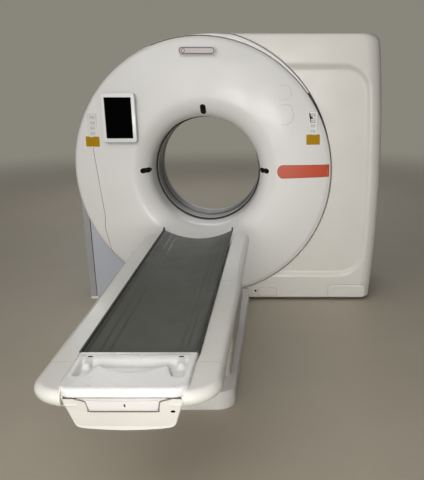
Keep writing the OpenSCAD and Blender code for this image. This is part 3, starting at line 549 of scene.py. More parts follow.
# %% The rule of the front surface
# R is a radius and D a depth towards the viewer. The throat and the crown are rings round the bore's axis,
# MOUTH_R and DOME_R are the radii of their curves, and the disc is the cover's outer edge.
AXIS_Z = 0.897
THROAT_R, MOUTH_R, CROWN_R = 0.362, 0.132, 0.495
CROWN_D, DOME_R, THROAT_D = 0.396, 1.670, 0.118
DISC_X, DISC_Z, DISC_R = -0.012, 0.905, 0.852
EDGE_ROUND, EDGE_MOST_D = 0.024, 0.360
CREASE_X, CREASE_Z, CREASE_R, CREASE_DROP, CREASE_FALL = 0.100, 0.630, 0.960, 0.014, 0.3
CREASE_SOFT = 0.004


def soft_min(a, b, width):
    """The smaller of two values, with a rounded change from one to the other."""
    near = max(width - abs(a - b), 0.0) / width
    return min(a, b) - near * near * width / 4


def front_depth(x, z):
    """The front's depth at a place: mouth or dome, cut by the cone and rolled off at the disc's edge."""
    r = math.hypot(x, z - AXIS_Z)
    if r < CROWN_R:
        c = min(1.0, (CROWN_R - r) / MOUTH_R)
        depth = CROWN_D - MOUTH_R + MOUTH_R * math.sqrt(max(0.0, 1 - c * c))
    else:
        depth = CROWN_D - (DOME_R - math.sqrt(DOME_R ** 2 - (r - CROWN_R) ** 2))
    cone = CROWN_D - CREASE_DROP - (math.hypot(x - CREASE_X, z - CREASE_Z) - CREASE_R) * CREASE_FALL
    depth = soft_min(depth, cone, CREASE_SOFT)
    past = math.hypot(x - DISC_X, z - DISC_Z) - DISC_R + EDGE_ROUND
    if past <= 0:
        return depth
    c = min(1.0, past / EDGE_ROUND)
    return min(depth, EDGE_MOST_D) - EDGE_ROUND * (1 - math.sqrt(1 - c * c))


def edge_distance(angle):
    """From the bore axis to the round cover's edge."""
    dx, dz = DISC_X, DISC_Z - AXIS_Z
    along = dx * math.cos(angle) + dz * math.sin(angle)
    return along + math.sqrt(along ** 2 - dx ** 2 - dz ** 2 + DISC_R ** 2)


print("crown depth", front_depth(CROWN_R, AXIS_Z), "m, edge at", round(edge_distance(0), 4), "m")


# %% Faces between rings of points
def tube_faces(rings, around, closed=False):
    """Faces between rings that each have as many points; closed joins the last ring to the first."""
    faces = []
    for i in range(rings if closed else rings - 1):
        a, b = i * around, (i + 1) % rings * around
        for k in range(around):
            m = (k + 1) % around
            faces.append((a + k, a + m, b + m, b + k))
    return faces


def sharp_past(piece, degrees):
    """Keeps an edge sharp where its faces meet at more than this angle."""
    piece.data.set_sharp_from_angle(angle=math.radians(degrees))
    return piece


# %% The front moulding
WALL = 0.005
THROAT_STEPS = (THROAT_D, 0.17, 0.22)
SKIRT_D, EDGE_BAND, EDGE_LIP, INSIDE_LIP = 0.284, 0.026, 0.012, 0.010
EDGE_STEPS = [0.020, 0.016, 0.012, 0.009, 0.006, 0.004, 0.002, 0.0008, 0.0]


def front_profile(angle, mouth_steps=16, dome_steps=46):
    """Radius and depth of the outside, from the throat over the mouth and the dome to the skirt."""
    ca, sa = math.cos(angle), math.sin(angle)
    far = edge_distance(angle)
    profile = [(THROAT_R, d) for d in THROAT_STEPS]
    for k in range(mouth_steps + 1):
        t = math.pi / 2 * k / mouth_steps
        r = CROWN_R - MOUTH_R * math.cos(t)
        roll = CROWN_D - MOUTH_R + MOUTH_R * math.sin(t)
        profile.append((max(r, THROAT_R + 0.0005), min(roll, front_depth(r * ca, AXIS_Z + r * sa))))
    stations = [CROWN_R + (far - EDGE_BAND - CROWN_R) * k / dome_steps for k in range(1, dome_steps + 1)]
    stations += [far - d for d in EDGE_STEPS]
    profile += [(r, front_depth(r * ca, AXIS_Z + r * sa)) for r in stations]
    return profile + [(far, profile[-1][1] - EDGE_LIP), (far, SKIRT_D)]


def inside_of(profile):
    """The way back along the inside: every fifth point of the outside, a wall's thickness deeper."""
    far, low = profile[-3]
    back = [(far - WALL, SKIRT_D), (far - WALL, low - INSIDE_LIP)]
    for r, d in profile[-16:2:-5]:
        back.append((max(r, THROAT_R + WALL) if r > CROWN_R else r + WALL, d - WALL))
    return back + [(THROAT_R + WALL, THROAT_D)]


def front_moulding(turns=360):
    points = []
    for i in range(turns):
        angle = 2 * math.pi * i / turns
        ca, sa = math.cos(angle), math.sin(angle)
        profile = front_profile(angle)
        points += [(r * ca, -d, AXIS_Z + r * sa) for r, d in profile + inside_of(profile)]
    faces = tube_faces(turns, len(points) // turns, closed=True)
    return new_piece("front_moulding", points, faces, finish_by_node["front_cover"])


ride_like(sharp_past(front_moulding(), 38), "front_cover", replace=True)

# %% [markdown]
# ## Things laid on a surface
# Printed fields, window films, thin seams and raised outlines all follow the curved front. They could be an
# image on it, or grooves cut into it. Each is instead a thin closed sheet: its face is lifted a fraction of a
# millimetre off the rule's surface, and its rim goes below it, so that no edge hangs free.


# %% A point lifted off a surface, and the ending that laid pieces share
def lifted(surface, x, z, lift):
    """The point of the surface over (x, z), moved out along the surface's normal."""
    s = 0.001
    dx = (surface(x + s, z) - surface(x - s, z)) / (2 * s)
    dz = (surface(x, z + s) - surface(x, z - s)) / (2 * s)
    n = Vector((-dx, -1.0, -dz)).normalized()
    return (Vector((x, -surface(x, z), z)) + n * lift)[:]


def laid_piece(name, points, faces, material, sharp, like="front_cover", level=False, replace=False):
    """A piece made for an upright face; a level one is turned so that it lies on a face from above."""
    if level:
        points = [(x, z, -y) for x, y, z in points]
    return ride_like(sharp_past(new_piece(name, points, faces, material), sharp), like, replace)


# %% Sheets
def grid_faces(rows, wide):
    """Faces of a grid whose points run row after row."""
    return [(i * wide + k, i * wide + k + 1, (i + 1) * wide + k + 1, (i + 1) * wide + k)
            for i in range(rows - 1) for k in range(wide - 1)]


def laid_sheet(name, rows, surface, material, lift, deep=0.0015, **tie):
    """A closed thin sheet; rows of (x, z) run upwards, each from left to right."""
    high, wide = len(rows), len(rows[0])
    points = [lifted(surface, x, z, up) for up in (lift, -deep) for row in rows for x, z in row]
    n = high * wide
    top = grid_faces(high, wide)
    faces = top + [tuple(n + k for k in face[::-1]) for face in top]
    rim = list(range(wide)) + [i * wide + wide - 1 for i in range(1, high)]
    rim += [(high - 1) * wide + k for k in range(wide - 2, -1, -1)]
    rim += [i * wide for i in range(high - 2, 0, -1)]
    for a, b in zip(rim, rim[1:] + rim[:1]):
        faces.append((a, n + a, n + b, b))
    return laid_piece(name, points, faces, material, 40, **tie)


def oblong_rows(x0, z0, x1, z1, across=8, up=3):
    return [[(x0 + (x1 - x0) * k / across, z0 + (z1 - z0) * i / up) for k in range(across + 1)]
            for i in range(up + 1)]


# %% Ribbons
def curve_at(t, a, b, c, d):
    """A value between b and c, on a smooth curve that heeds the neighbours a and d."""
    return 0.5 * (2 * b + (c - a) * t + (2 * a - 5 * b + 4 * c - d) * t * t
                  + (3 * b - a - 3 * c + d) * t ** 3)


def resampled(points, step=0.012):
    """A smooth curve through the points, in steps of about one length."""
    out = []
    for i in range(len(points) - 1):
        p0, p1, p2 = points[max(i - 1, 0)], points[i], points[i + 1]
        p3 = points[min(i + 2, len(points) - 1)]
        many = max(2, int(math.dist(p1, p2) / step))
        for t in (k / many for k in range(many)):
            out.append(tuple(curve_at(t, *four) for four in zip(p0, p1, p2, p3)))
    return out + [tuple(points[-1])]


def ribbon_rows(points, width, closed):
    """Three rows along a path: its right side, the path itself and its left side."""
    left, right = [], []
    n = len(points)
    for i, (x, z) in enumerate(points):
        a = points[(i - 1) % n if closed else max(i - 1, 0)]
        b = points[(i + 1) % n if closed else min(i + 1, n - 1)]
        tx, tz = b[0] - a[0], b[1] - a[1]
        size = math.hypot(tx, tz) or 1.0
        nx, nz = -tz / size * width / 2, tx / size * width / 2
        left.append((x + nx, z + nz))
        right.append((x - nx, z - nz))
    rows = [right, list(points), left]
    return [row + row[:1] for row in rows] if closed else rows


def laid_ribbon(name, points, surface, material, width, lift, closed=False, step=0.012, **tie):
    path = points if closed else resampled(points, step)
    return laid_sheet(name, ribbon_rows(path, width, closed), surface, material, lift, **tie)


# %% Plates
def round_outline(x0, z0, x1, z1, r, steps=6):
    """Corners anticlockwise as seen from the front, starting low on the right."""
    middles = ((x1 - r, z0 + r, -90), (x1 - r, z1 - r, 0), (x0 + r, z1 - r, 90), (x0 + r, z0 + r, 180))
    out = []
    for cx, cz, start in middles:
        turns = [math.radians(start + 90 * k / steps) for k in range(steps + 1)]
        out += [(cx + r * math.cos(a), cz + r * math.sin(a)) for a in turns]
    return out


def middle_of(outline):
    return sum(x for x, _ in outline) / len(outline), sum(z for _, z in outline) / len(outline)


def laid_plate(name, outline, surface, material, lift, edge=0.001, deep=0.0015, **tie):
    """A closed plate with a softened rim, filled towards its middle."""
    n = len(outline)
    cx, cz = middle_of(outline)
    reach = min(math.dist(p, (cx, cz)) for p in outline)
    rings = [(1.0, -deep), (1.0, lift * 0.4), (1 - edge / reach, lift), (0.66, lift), (0.33, lift)]
    points = [lifted(surface, cx + (x - cx) * scale, cz + (z - cz) * scale, high)
              for scale, high in rings for x, z in outline]
    points.append(lifted(surface, cx, cz, lift))
    faces = [tuple(range(n))[::-1]] + tube_faces(len(rings), n)
    last = (len(rings) - 1) * n
    faces += [(last + k, last + (k + 1) % n, len(points) - 1) for k in range(n)]
    return laid_piece(name, points, faces, material, 60, **tie)


# %% [markdown]
# ## Seams and painted fields of the round cover
# The real cover is made of large mouldings that meet in thin seams, and it carries an orange band and two
# yellow fields. They could be a texture, but no picture goes into this file. Ribbons and sheets stay sharp
# at any distance. The fields are left bare.

# %% Finishes for the furniture of the front
seam_dark = moulded("seam_shadow", (0.16, 0.15, 0.14), smooth=(0.6, 0.7), bump=0.0, dust=0.0)
seam_soft = moulded("seam_soft", (0.50, 0.485, 0.46), smooth=(0.5, 0.6), bump=0.0, dust=0.0)
# A light colour for painted highlights: beside the left seam and round the laser windows.
painted_highlight = moulded("painted_highlight", (0.86, 0.85, 0.83), smooth=(0.3, 0.4), dust=0.0)
band_orange = moulded("band_orange", (0.60, 0.080, 0.028), (0.54, 0.070, 0.025), smooth=(0.3, 0.42), dust=0.0)
bar_light = moulded("bar_light", (0.62, 0.575, 0.56), smooth=(0.4, 0.5), dust=0.0)
mark_soft = moulded("mark_soft", (0.42, 0.40, 0.38), smooth=(0.5, 0.6), bump=0.0, dust=0.0)
band_edge = moulded("band_edge", (0.30, 0.035, 0.018), smooth=(0.4, 0.5), bump=0.0, dust=0.0)
field_yellow = moulded("field_yellow", (0.46, 0.25, 0.0), (0.40, 0.215, 0.0), smooth=(0.45, 0.55), dust=0.0,
                       extra={"Specular IOR Level": 0.15})
plum_line = moulded("plum_line", (0.11, 0.072, 0.070), smooth=(0.4, 0.5), bump=0.0, dust=0.0)
# Grey for fine marks, and for the tablet's painted shadow.
grey_mark_and_shadow = moulded("grey_mark_and_shadow", (0.40, 0.40, 0.39), smooth=(0.5, 0.6), bump=0.0, dust=0.0)
print(len(bpy.data.materials), "materials so far")

# %% Seams and outlines on the round cover
LEFT_SEAM = [(-0.722, 1.068), (-0.700, 0.827), (-0.683, 0.621), (-0.689, 0.528), (-0.663, 0.386),
             (-0.644, 0.332)]
HIGHLIGHT_SHIFT = 0.005
PAD_PATH = [(0.507, 1.339), (0.539, 1.341), (0.571, 1.333), (0.584, 1.296), (0.587, 1.265), (0.571, 1.233),
            (0.545, 1.218), (0.507, 1.217)]
PAD_Z, PAD_ABOVE, PAD_FLATTER, PAD_LEFT = 1.28, 0.135, 0.3, 0.012

laid_ribbon("left_curved_seam", LEFT_SEAM, front_depth, seam_dark, width=0.0034, lift=0.0004)
# A light ribbon beside the left seam is a painted highlight along the seam's raised edge.
laid_ribbon("left_curved_seam_highlight", [(x + HIGHLIGHT_SHIFT, z) for x, z in LEFT_SEAM], front_depth, painted_highlight,
            width=0.0050, lift=0.0009)
pad_low = resampled(PAD_PATH, 0.010)
pad_high = [(x - PAD_LEFT, z + PAD_ABOVE - (z - PAD_Z) * PAD_FLATTER) for x, z in pad_low]
laid_ribbon("pad_outline_low", pad_low, front_depth, seam_soft, width=0.0028, lift=0.0004)
laid_ribbon("pad_outline_high", pad_high, front_depth, seam_soft, width=0.0020, lift=0.0003)

# %% Yellow fields and the orange band
YELLOW_FIELDS = {"left": (-0.768, 1.077, -0.676, 1.141), "right": (0.672, 1.089, 0.760, 1.154)}
BAND_X, BAND_FAR_X, BAND_TIP = 0.483, 0.8385, 0.036
BAND_LOW_Z, BAND_LOW_RISE = 0.873, 0.022
BAND_HIGH_Z, BAND_HIGH_RISE = 0.957, -0.001

for side, corners in YELLOW_FIELDS.items():
    laid_sheet(f"yellow_field_{side}", oblong_rows(*corners), front_depth, field_yellow, lift=0.0004)


def band_rows(grow=0.0, steps=34, rows=7):
    """A grid with a round tip on the left and two nearly level edges; it may grow a little all round."""
    out = []
    for j in range(rows):
        row = []
        for k in range(steps + 1):
            x = BAND_X - grow + (BAND_FAR_X - BAND_X + grow) * (k / steps) ** 1.3
            past_tip = x - BAND_X - BAND_TIP
            low = BAND_LOW_Z + past_tip * BAND_LOW_RISE - grow
            high = BAND_HIGH_Z + past_tip * BAND_HIGH_RISE + grow
            c = max(0.0, 1 - (x - BAND_X + grow) / (BAND_TIP + grow))
            half = (high - low) / 2 * math.sqrt(max(0.0004, 1 - c * c))
            row.append((x, (low + high) / 2 + half * (2 * j / (rows - 1) - 1)))
        out.append(row)
    return out


laid_sheet("orange_band_edge", band_rows(grow=0.0022), front_depth, band_edge, lift=0.0003)
laid_sheet("orange_band", band_rows(), front_depth, band_orange, lift=0.0006)

# %% [markdown]
# ## Laser windows
# Three small windows let out the light lines that help to place a person. Each could be a hole with a pane
# in it. From a step away only a dark film with a bright halo shows, so each is two thin plates, one over the
# other: the dark film, and a wider light plate under it whose border is a painted highlight.

# %% Laser windows with their painted highlights
LASER_PLACES = {"top": (-0.014, 1.280, 0.024, 1.346), "left": (-0.426, 0.900, -0.364, 0.936),
                "right": (0.364, 0.898, 0.428, 0.934)}
HALO_WIDTH = 0.003

for side, (x0, z0, x1, z1) in LASER_PLACES.items():
    r = min(x1 - x0, z1 - z0) / 2 - 0.0005
    halo_outline = round_outline(x0 - HALO_WIDTH, z0 - HALO_WIDTH, x1 + HALO_WIDTH, z1 + HALO_WIDTH, r + HALO_WIDTH)
    # Under each window, a wider light plate whose border is a painted highlight.
    laid_plate(f"laser_halo_{side}", halo_outline, front_depth, painted_highlight, lift=0.0006)
    laid_plate(f"laser_window_{side}", round_outline(x0, z0, x1, z1, r), front_depth, dark_film_and_hole_shade,
               lift=0.0011, like="laser_windows", replace=side == "top")

# %% [markdown]
# ## The gasket
# A dark rubber ring fills the gap between the front cover's throat and the bore's liner. A torus would be
# too round. The ring's section has a flat back and a crowned front, and it is turned round the bore's axis.

# %% The dark gasket between the cover and the bore
GASKET_SECTION = [(0.353, 0.1335), (0.3605, 0.1355), (0.364, 0.133), (0.364, 0.1195), (0.3505, 0.1195),
                  (0.3505, 0.130)]


def bore_gasket(turns=180):
    points = []
    for i in range(turns):
        a = 2 * math.pi * i / turns
        points += [(r * math.cos(a), -d, AXIS_Z + r * math.sin(a)) for r, d in GASKET_SECTION]
    return new_piece("bore_gasket", points, tube_faces(turns, len(GASKET_SECTION), closed=True), soft_rubber)


ride_like(bore_gasket(), "bore_seal_ring", replace=True)

# %% [markdown]
# ## The status bar, the control strips and the tablet
# The bar is a light case with a thin plum line round its face and a round symbol at its left end. The strips
# have a faint line round their keys, and the tablet is a thin white case; a grey plate behind it, showing on
# its right and lower side, is a painted shadow. Their faces are flat, so the same sheets, ribbons and plates
# are laid on a surface of one depth. The tablet's rounded case needs a plate of its own kind, with an eased
# front rim.


# %% A plate with an eased front rim
def outward(piece, weld=0.0, cut_caps=False):
    """Turns all faces outward; near points may be welded, and faces of many corners cut into triangles."""
    bm = bmesh.new()
    bm.from_mesh(piece.data)
    if weld:
        bmesh.ops.remove_doubles(bm, verts=bm.verts, dist=weld)
    bmesh.ops.recalc_face_normals(bm, faces=bm.faces)
    if cut_caps:
        caps = [f for f in bm.faces if len(f.verts) > 4]
        bmesh.ops.triangulate(bm, faces=caps, quad_method="BEAUTY", ngon_method="EAR_CLIP")
    bm.to_mesh(piece.data)
    bm.free()
    return piece


def turned_over(faces):
    """The same faces seen from behind, each from its first corner on."""
    return [(face[0], *face[:0:-1]) for face in faces]


def front_plate(name, outline, material, node, y_front, thick, ease, lean=0.0, replace=False):
    """An upright plate with an eased front rim; outline of (x, z) anticlockwise from the front."""
    n = len(outline)
    top = max(z for _, z in outline)
    rings = ((0.0, thick), (0.0, ease), (ease * 0.3, ease * 0.3), (ease, 0.0))
    points = []
    for inset, back in rings:
        for i, (x, z) in enumerate(outline):
            a, b = outline[i - 1], outline[(i + 1) % n]
            tx, tz = b[0] - a[0], b[1] - a[1]
            size = math.hypot(tx, tz) or 1.0
            points.append((x - tz / size * inset, y_front + back + (top - z) * lean, z + tx / size * inset))
    faces = [tuple(range(n))] + turned_over(tube_faces(len(rings), n))
    faces.append(tuple(3 * n + k for k in range(n))[::-1])
    made = outward(new_piece(name, points, faces, material))
    return ride_like(sharp_past(made, 40), node, replace)


# %% The face of the status bar and the lines of the strips
def flat(depth):
    """A surface of one depth."""
    return lambda x, z: depth


def front_outline(box, r, in_x, in_z):
    """A rounded outline on the front of a box, drawn in by so much at the sides and above and below."""
    return round_outline(box[0][0] + in_x, box[0][2] + in_z, box[1][0] - in_x, box[1][2] - in_z, r)


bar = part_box("status_light_housing")
bar_face = flat(-bar[0][1] + 0.0002)
bar_right, bar_low, bar_high = bar[1][0], bar[0][2], bar[1][2]
laid_plate("bar_face", front_outline(bar, r=0.014, in_x=0.006, in_z=0.005), bar_face, bar_light, lift=0.0006,
           like="status_light_lens")
laid_ribbon("bar_outline", front_outline(bar, r=0.0155, in_x=0.005, in_z=0.0045), bar_face, plum_line,
            width=0.0054, lift=0.0009, closed=True)
laid_ribbon("bar_symbol", oval(bar[0][0] + 0.028, (bar_low + bar_high) / 2, 0.0105, 0.0105, 24), bar_face,
            plum_line, width=0.0036, lift=0.0010, closed=True)
laid_ribbon("bar_divider", [(bar_right - 0.026, bar_low + 0.009), (bar_right - 0.026, bar_high - 0.009)],
            bar_face, seam_soft, width=0.0022, lift=0.0010)

for side in ("left", "right"):
    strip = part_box(f"{side}_control_strip")
    laid_ribbon(f"{side}_strip_line", front_outline(strip, r=0.007, in_x=0.003, in_z=0.003),
                flat(-strip[0][1] + 0.0001), seam_soft, width=0.0012, lift=0.0004, closed=True)

# %% The tablet
CASE_R = 0.020

screen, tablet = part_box("tablet_screen"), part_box("tablet_body")
case_y = tablet[0][1] + 0.0006
# A grey plate behind the case, moved to the right and down, is a painted shadow of the tablet.
shadow_outline = round_outline(tablet[0][0] + 0.002, tablet[0][2] - 0.0055, tablet[1][0] + 0.0055,
                             tablet[1][2] - 0.002, CASE_R)
front_plate("tablet_case", front_outline(tablet, r=CASE_R, in_x=0.0, in_z=0.0), case_white, "tablet_body",
            y_front=case_y, thick=0.013, ease=0.0035, replace=True)
front_plate("tablet_painted_shadow", shadow_outline, grey_mark_and_shadow, "tablet_body", y_front=case_y + 0.006, thick=0.008,
            ease=0.002)
laid_ribbon("tablet_screen_line", front_outline(screen, r=0.004, in_x=-0.001, in_z=-0.001),
            flat(-tablet[0][1] + 0.0002), grey_mark_and_shadow, width=0.0018, lift=0.0004, closed=True)

# %% [markdown]
# ## What repeats is grown by Geometry Nodes
# Small equal things such as key marks, grille slats and bolt heads sit on rows or on a circle. Each could be
# copied by a loop. A node tree does the same from a few inputs, which say how many, how far apart and how
# big, and it can be tried out by hand. The result is turned into a plain mesh at once, so that it can ride on
# its body like any other piece.


# %% Building and running a geometry tree
def geometry_tree(name, inputs):
    group = new_group(name, "GeometryNodeTree", inputs, [("Geometry", GEOMETRY)])
    group[0].is_modifier = True
    return group


def end_tree(tree, given, result, last, output, x):
    """The ending of every tree: instances become real faces, and all of them get the material."""
    real = node_of(tree, "GeometryNodeRealizeInstances", (x, 100))
    finish = node_of(tree, "GeometryNodeSetMaterial", (x + 200, 100))
    link_nodes(tree, [
        (last, output, real, "Geometry"),
        (real, "Geometry", finish, "Geometry"),
        (given, "Material", finish, "Material"),
        (finish, "Geometry", result, "Geometry"),
    ])


def grown(name, tree, turn, place, like, **values):
    """Runs a tree once and keeps its result as a plain mesh, turned about X and set in its place."""
    made = new_piece(name, [], [])
    run = made.modifiers.new("grow", "NODES")
    run.node_group = tree
    socket_of = {item.name: item.identifier for item in tree.interface.items_tree if item.in_out == "INPUT"}
    for label, value in values.items():
        run[socket_of[label.replace("_", " ")]] = value
    graph = bpy.context.evaluated_depsgraph_get()
    mesh = bpy.data.meshes.new_from_object(made.evaluated_get(graph), depsgraph=graph)
    made.modifiers.clear()
    mesh.transform(Matrix.Translation(place) @ Matrix.Rotation(math.radians(turn), 4, "X"))
    made.data = mesh
    return ride_like(outward(made, weld=1e-6), like)


# %% Rows of rounded plates
def rows_tree():
    tree, given, result = geometry_tree("Rows of rounded plates", [
        ("Columns", INT, 2), ("Rows", INT, 4), ("Step across", FLOAT, 0.02), ("Step up", FLOAT, 0.03),
        ("Width", FLOAT, 0.008), ("Height", FLOAT, 0.008), ("Thickness", FLOAT, 0.001),
        ("Corner", FLOAT, 0.002), ("Material", MATERIAL, None)])
    grid = node_of(tree, "GeometryNodeMeshGrid", (-500, 300))
    for label, step, size in (("Columns", "Step across", "Size X"), ("Rows", "Step up", "Size Y")):
        gaps = math_of(tree, "SUBTRACT", (-900, 300), 1.0)
        span = math_of(tree, "MULTIPLY", (-700, 300))
        link_nodes(tree, [
            (given, label, gaps, 0),
            (gaps, 0, span, 0),
            (given, step, span, 1),
            (span, 0, grid, size),
        ])
    outline = node_of(tree, "GeometryNodeCurvePrimitiveQuadrilateral", (-900, -100))
    rounded = node_of(tree, "GeometryNodeFilletCurve", (-700, -100), {"mode": "POLY"},
                      Count=4, Limit_Radius=True)
    face = node_of(tree, "GeometryNodeFillCurve", (-500, -100), {"mode": "NGONS"})
    raised = node_of(tree, "GeometryNodeExtrudeMesh", (-300, 0))
    under = node_of(tree, "GeometryNodeFlipFaces", (-300, -200))
    closed = node_of(tree, "GeometryNodeJoinGeometry", (-100, -100))
    welded = node_of(tree, "GeometryNodeMergeByDistance", (50, -100), Distance=0.000001)
    placed = node_of(tree, "GeometryNodeInstanceOnPoints", (250, 100))
    link_nodes(tree, [
        (given, "Columns", grid, "Vertices X"),
        (given, "Rows", grid, "Vertices Y"),
        (given, "Width", outline, "Width"),
        (given, "Height", outline, "Height"),
        (outline, "Curve", rounded, "Curve"),
        (given, "Corner", rounded, "Radius"),
        (rounded, "Curve", face, "Curve"),
        (face, "Mesh", raised, "Mesh"),
        (given, "Thickness", raised, "Offset Scale"),
        (face, "Mesh", under, "Mesh"),
        (raised, "Mesh", closed, "Geometry"),
        (under, "Mesh", closed, "Geometry"),
        (closed, "Geometry", welded, "Geometry"),
        (grid, "Mesh", placed, "Points"),
        (welded, "Geometry", placed, "Instance"),
    ])
    end_tree(tree, given, result, placed, "Instances", 450)
    return tree


plate_rows = rows_tree()
print("tree:", plate_rows.name, "with", len(plate_rows.nodes), "nodes")


# %% Bolt heads on a circle
def circle_tree():
    tree, given, result = geometry_tree("Bolt heads on a circle", [
        ("Count", INT, 12), ("Circle radius", FLOAT, 0.5), ("Head radius", FLOAT, 0.008),
        ("Head height", FLOAT, 0.004), ("Material", MATERIAL, None)])
    circle = node_of(tree, "GeometryNodeMeshCircle", (-500, 200))
    narrow = math_of(tree, "MULTIPLY", (-700, -150), 0.78)
    head = node_of(tree, "GeometryNodeMeshCone", (-500, -100), Vertices=16)
    placed = node_of(tree, "GeometryNodeInstanceOnPoints", (-200, 100))
    link_nodes(tree, [
        (given, "Count", circle, "Vertices"),
        (given, "Circle radius", circle, "Radius"),
        (given, "Head radius", narrow, 0),
        (narrow, 0, head, "Radius Top"),
        (given, "Head radius", head, "Radius Bottom"),
        (given, "Head height", head, "Depth"),
        (circle, "Mesh", placed, "Points"),
        (head, "Mesh", placed, "Instance"),
    ])
    end_tree(tree, given, result, placed, "Instances", 0)
    return tree


bolt_circle = circle_tree()
print("tree:", bolt_circle.name, "with", len(bolt_circle.nodes), "nodes")


# %% A rounded section carried round a circle
def ring_tree():
    tree, given, result = geometry_tree("Section round a circle", [
        ("Path radius", FLOAT, 0.35), ("Width", FLOAT, 0.003), ("Height", FLOAT, 0.006),
        ("Corner", FLOAT, 0.001), ("Steps", INT, 180), ("Material", MATERIAL, None)])
    path = node_of(tree, "GeometryNodeCurvePrimitiveCircle", (-600, 200))
    section = node_of(tree, "GeometryNodeCurvePrimitiveQuadrilateral", (-800, -100))
    eased = node_of(tree, "GeometryNodeFilletCurve", (-600, -100), {"mode": "POLY"},
                    Count=3, Limit_Radius=True)
    swept = node_of(tree, "GeometryNodeCurveToMesh", (-300, 100))
    smooth = node_of(tree, "GeometryNodeSetShadeSmooth", (-100, 100))
    link_nodes(tree, [
        (given, "Path radius", path, "Radius"),
        (given, "Steps", path, "Resolution"),
        (given, "Width", section, "Width"),
        (given, "Height", section, "Height"),
        (section, "Curve", eased, "Curve"),
        (given, "Corner", eased, "Radius"),
        (path, "Curve", swept, "Curve"),
        (eased, "Curve", swept, "Profile Curve"),
        (swept, "Mesh", smooth, "Geometry"),
    ])
    end_tree(tree, given, result, smooth, "Geometry", 100)
    return tree


ring_path = ring_tree()
print("tree:", ring_path.name, "with", len(ring_path.nodes), "nodes")

# %% [markdown]
# ## Marks, slats and bolts
# Each key has two faint marks. The back, which the photograph doesn't show, has two slatted grilles and a
# circle of cover bolts, the drum has its own bolts, and a light lip runs round the bore. All of them come out
# of the three trees. The faces that they sit on are read from the frame.

# %% Two marks on each key
for node in key_names:
    low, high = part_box(node)
    middle = ((low[0] + high[0]) / 2, low[1] + 0.0008, (low[2] + high[2]) / 2)
    grown(node.replace("key", "key_marks"), plate_rows, 90, middle, node,
          Columns=2, Rows=1, Step_across=0.0150, Step_up=0.01, Width=0.0085, Height=0.0085, Thickness=0.0013,
          Corner=0.0020, Material=mark_soft)

# %% The grilles and bolts of the back, the drum's bolts and the bore's lip
REAR_FACE, DRUM_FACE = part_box("rear_cover")[1][1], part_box("rotor_drum")[0][1]
GRILLE_PLACES = {"low_x": -0.520, "high_x": 0.760}
GRILLE_Z = 0.330

for side, x in GRILLE_PLACES.items():
    grown(f"rear_grille_back_{side}", plate_rows, -90, (x, REAR_FACE - 0.0010, GRILLE_Z), "rear_cover",
          Columns=1, Rows=1, Step_across=0.1, Step_up=0.1, Width=0.400, Height=0.260, Thickness=0.0016,
          Corner=0.012, Material=seam_dark)
    grown(f"rear_grille_slats_{side}", plate_rows, -90, (x, REAR_FACE - 0.0006, GRILLE_Z), "rear_cover",
          Columns=2, Rows=14, Step_across=0.196, Step_up=0.018, Width=0.184, Height=0.0115, Thickness=0.0052,
          Corner=0.0040, Material=satin_white)
# The cover bolts ride like the bearing's balls, which are in the same body, and are given the same bare
# steel.
grown("rear_cover_bolts", bolt_circle, -90, (0.0, REAR_FACE, AXIS_Z), "bearing_balls", Count=12,
      Circle_radius=0.690, Head_radius=0.0085, Head_height=0.0040, Material=ground_steel)
grown("rotor_drum_bolts", bolt_circle, 90, (0.0, DRUM_FACE, AXIS_Z), "rotor_drum", Count=36,
      Circle_radius=0.715, Head_radius=0.0080, Head_height=0.0060, Material=ground_steel)
grown("bore_light_lip", ring_path, 90, (0.0, -0.1165, AXIS_Z), "bore_liner_front", Path_radius=0.3512,
      Width=0.0042, Height=0.0050, Corner=0.0012, Steps=180, Material=case_white)

# %% [markdown]
# ## The right housing
# The housing's side is a long barrel curve, its front edge rolls over 90 mm, and the front has a shallow
# recess with a soft rim. It could be a box with bevels and a cut recess, but its seam follows the round
# cover. A grid whose columns follow the seam, the recess and the barrel gives all of it in one skin, and
# Solidify gives the skin its wall.

# %% The housing's rules
HOUSE_FACE, HOUSE_BACK, HOUSE_SIDE, HOUSE_ROUND = 0.340, -0.410, 1.178, 0.090
HOUSE_TOP, HOUSE_LOW, TOP_CORNER, TOP_EASE = 1.770, 0.020, 0.060, 0.012
BARREL_R, SEAM_LEFT = 9.0, -0.020
RIM_X, RIM_Z = -0.037, 0.925
SEAM_CIRCLES = ((DISC_X, DISC_Z, 0.856), (RIM_X, RIM_Z, 0.876))
RECESS_X, RECESS_Z, RECESS_HALF, RECESS_R = 1.088, 0.882, 0.690, 0.15
RECESS_DEEP, RECESS_SOFT = 0.016, 0.040
SEAM_BACK, SEAM_BAND = 0.26, 0.005
SIDE_STATIONS = (0.10, -0.15, HOUSE_BACK)


def barrel_shift(z):
    return BARREL_R - math.sqrt(BARREL_R ** 2 - (z - AXIS_Z) ** 2)


def seam_x(z):
    best = SEAM_LEFT
    for cx, cz, r in SEAM_CIRCLES:
        if abs(z - cz) < r:
            best = max(best, cx + math.sqrt(r * r - (z - cz) ** 2))
    return best


def round_fall(over, r):
    """How far a quarter circle has fallen at a distance past its start."""
    return r - math.sqrt(max(0.0, r ** 2 - max(0.0, over) ** 2))


def wall_x(z):
    return HOUSE_SIDE - barrel_shift(z) - round_fall(z - (HOUSE_TOP - TOP_CORNER), TOP_CORNER)


def ramp(t):
    """Rises softly from 0 to 1 while t does."""
    t = min(1.0, max(0.0, t))
    return t * t * (3 - 2 * t)


def house_depth(x, z):
    dx = x + barrel_shift(z) - (RECESS_X - RECESS_R)
    dz = abs(z - RECESS_Z) - (RECESS_HALF - RECESS_R)
    outside = math.hypot(max(dx, 0.0), max(dz, 0.0)) + min(max(dx, dz), 0.0) - RECESS_R
    return HOUSE_FACE - RECESS_DEEP * ramp(0.5 - outside / RECESS_SOFT)


print("recess", RECESS_DEEP, "m deep; seam at the axis", round(seam_x(AXIS_Z), 4), "m")


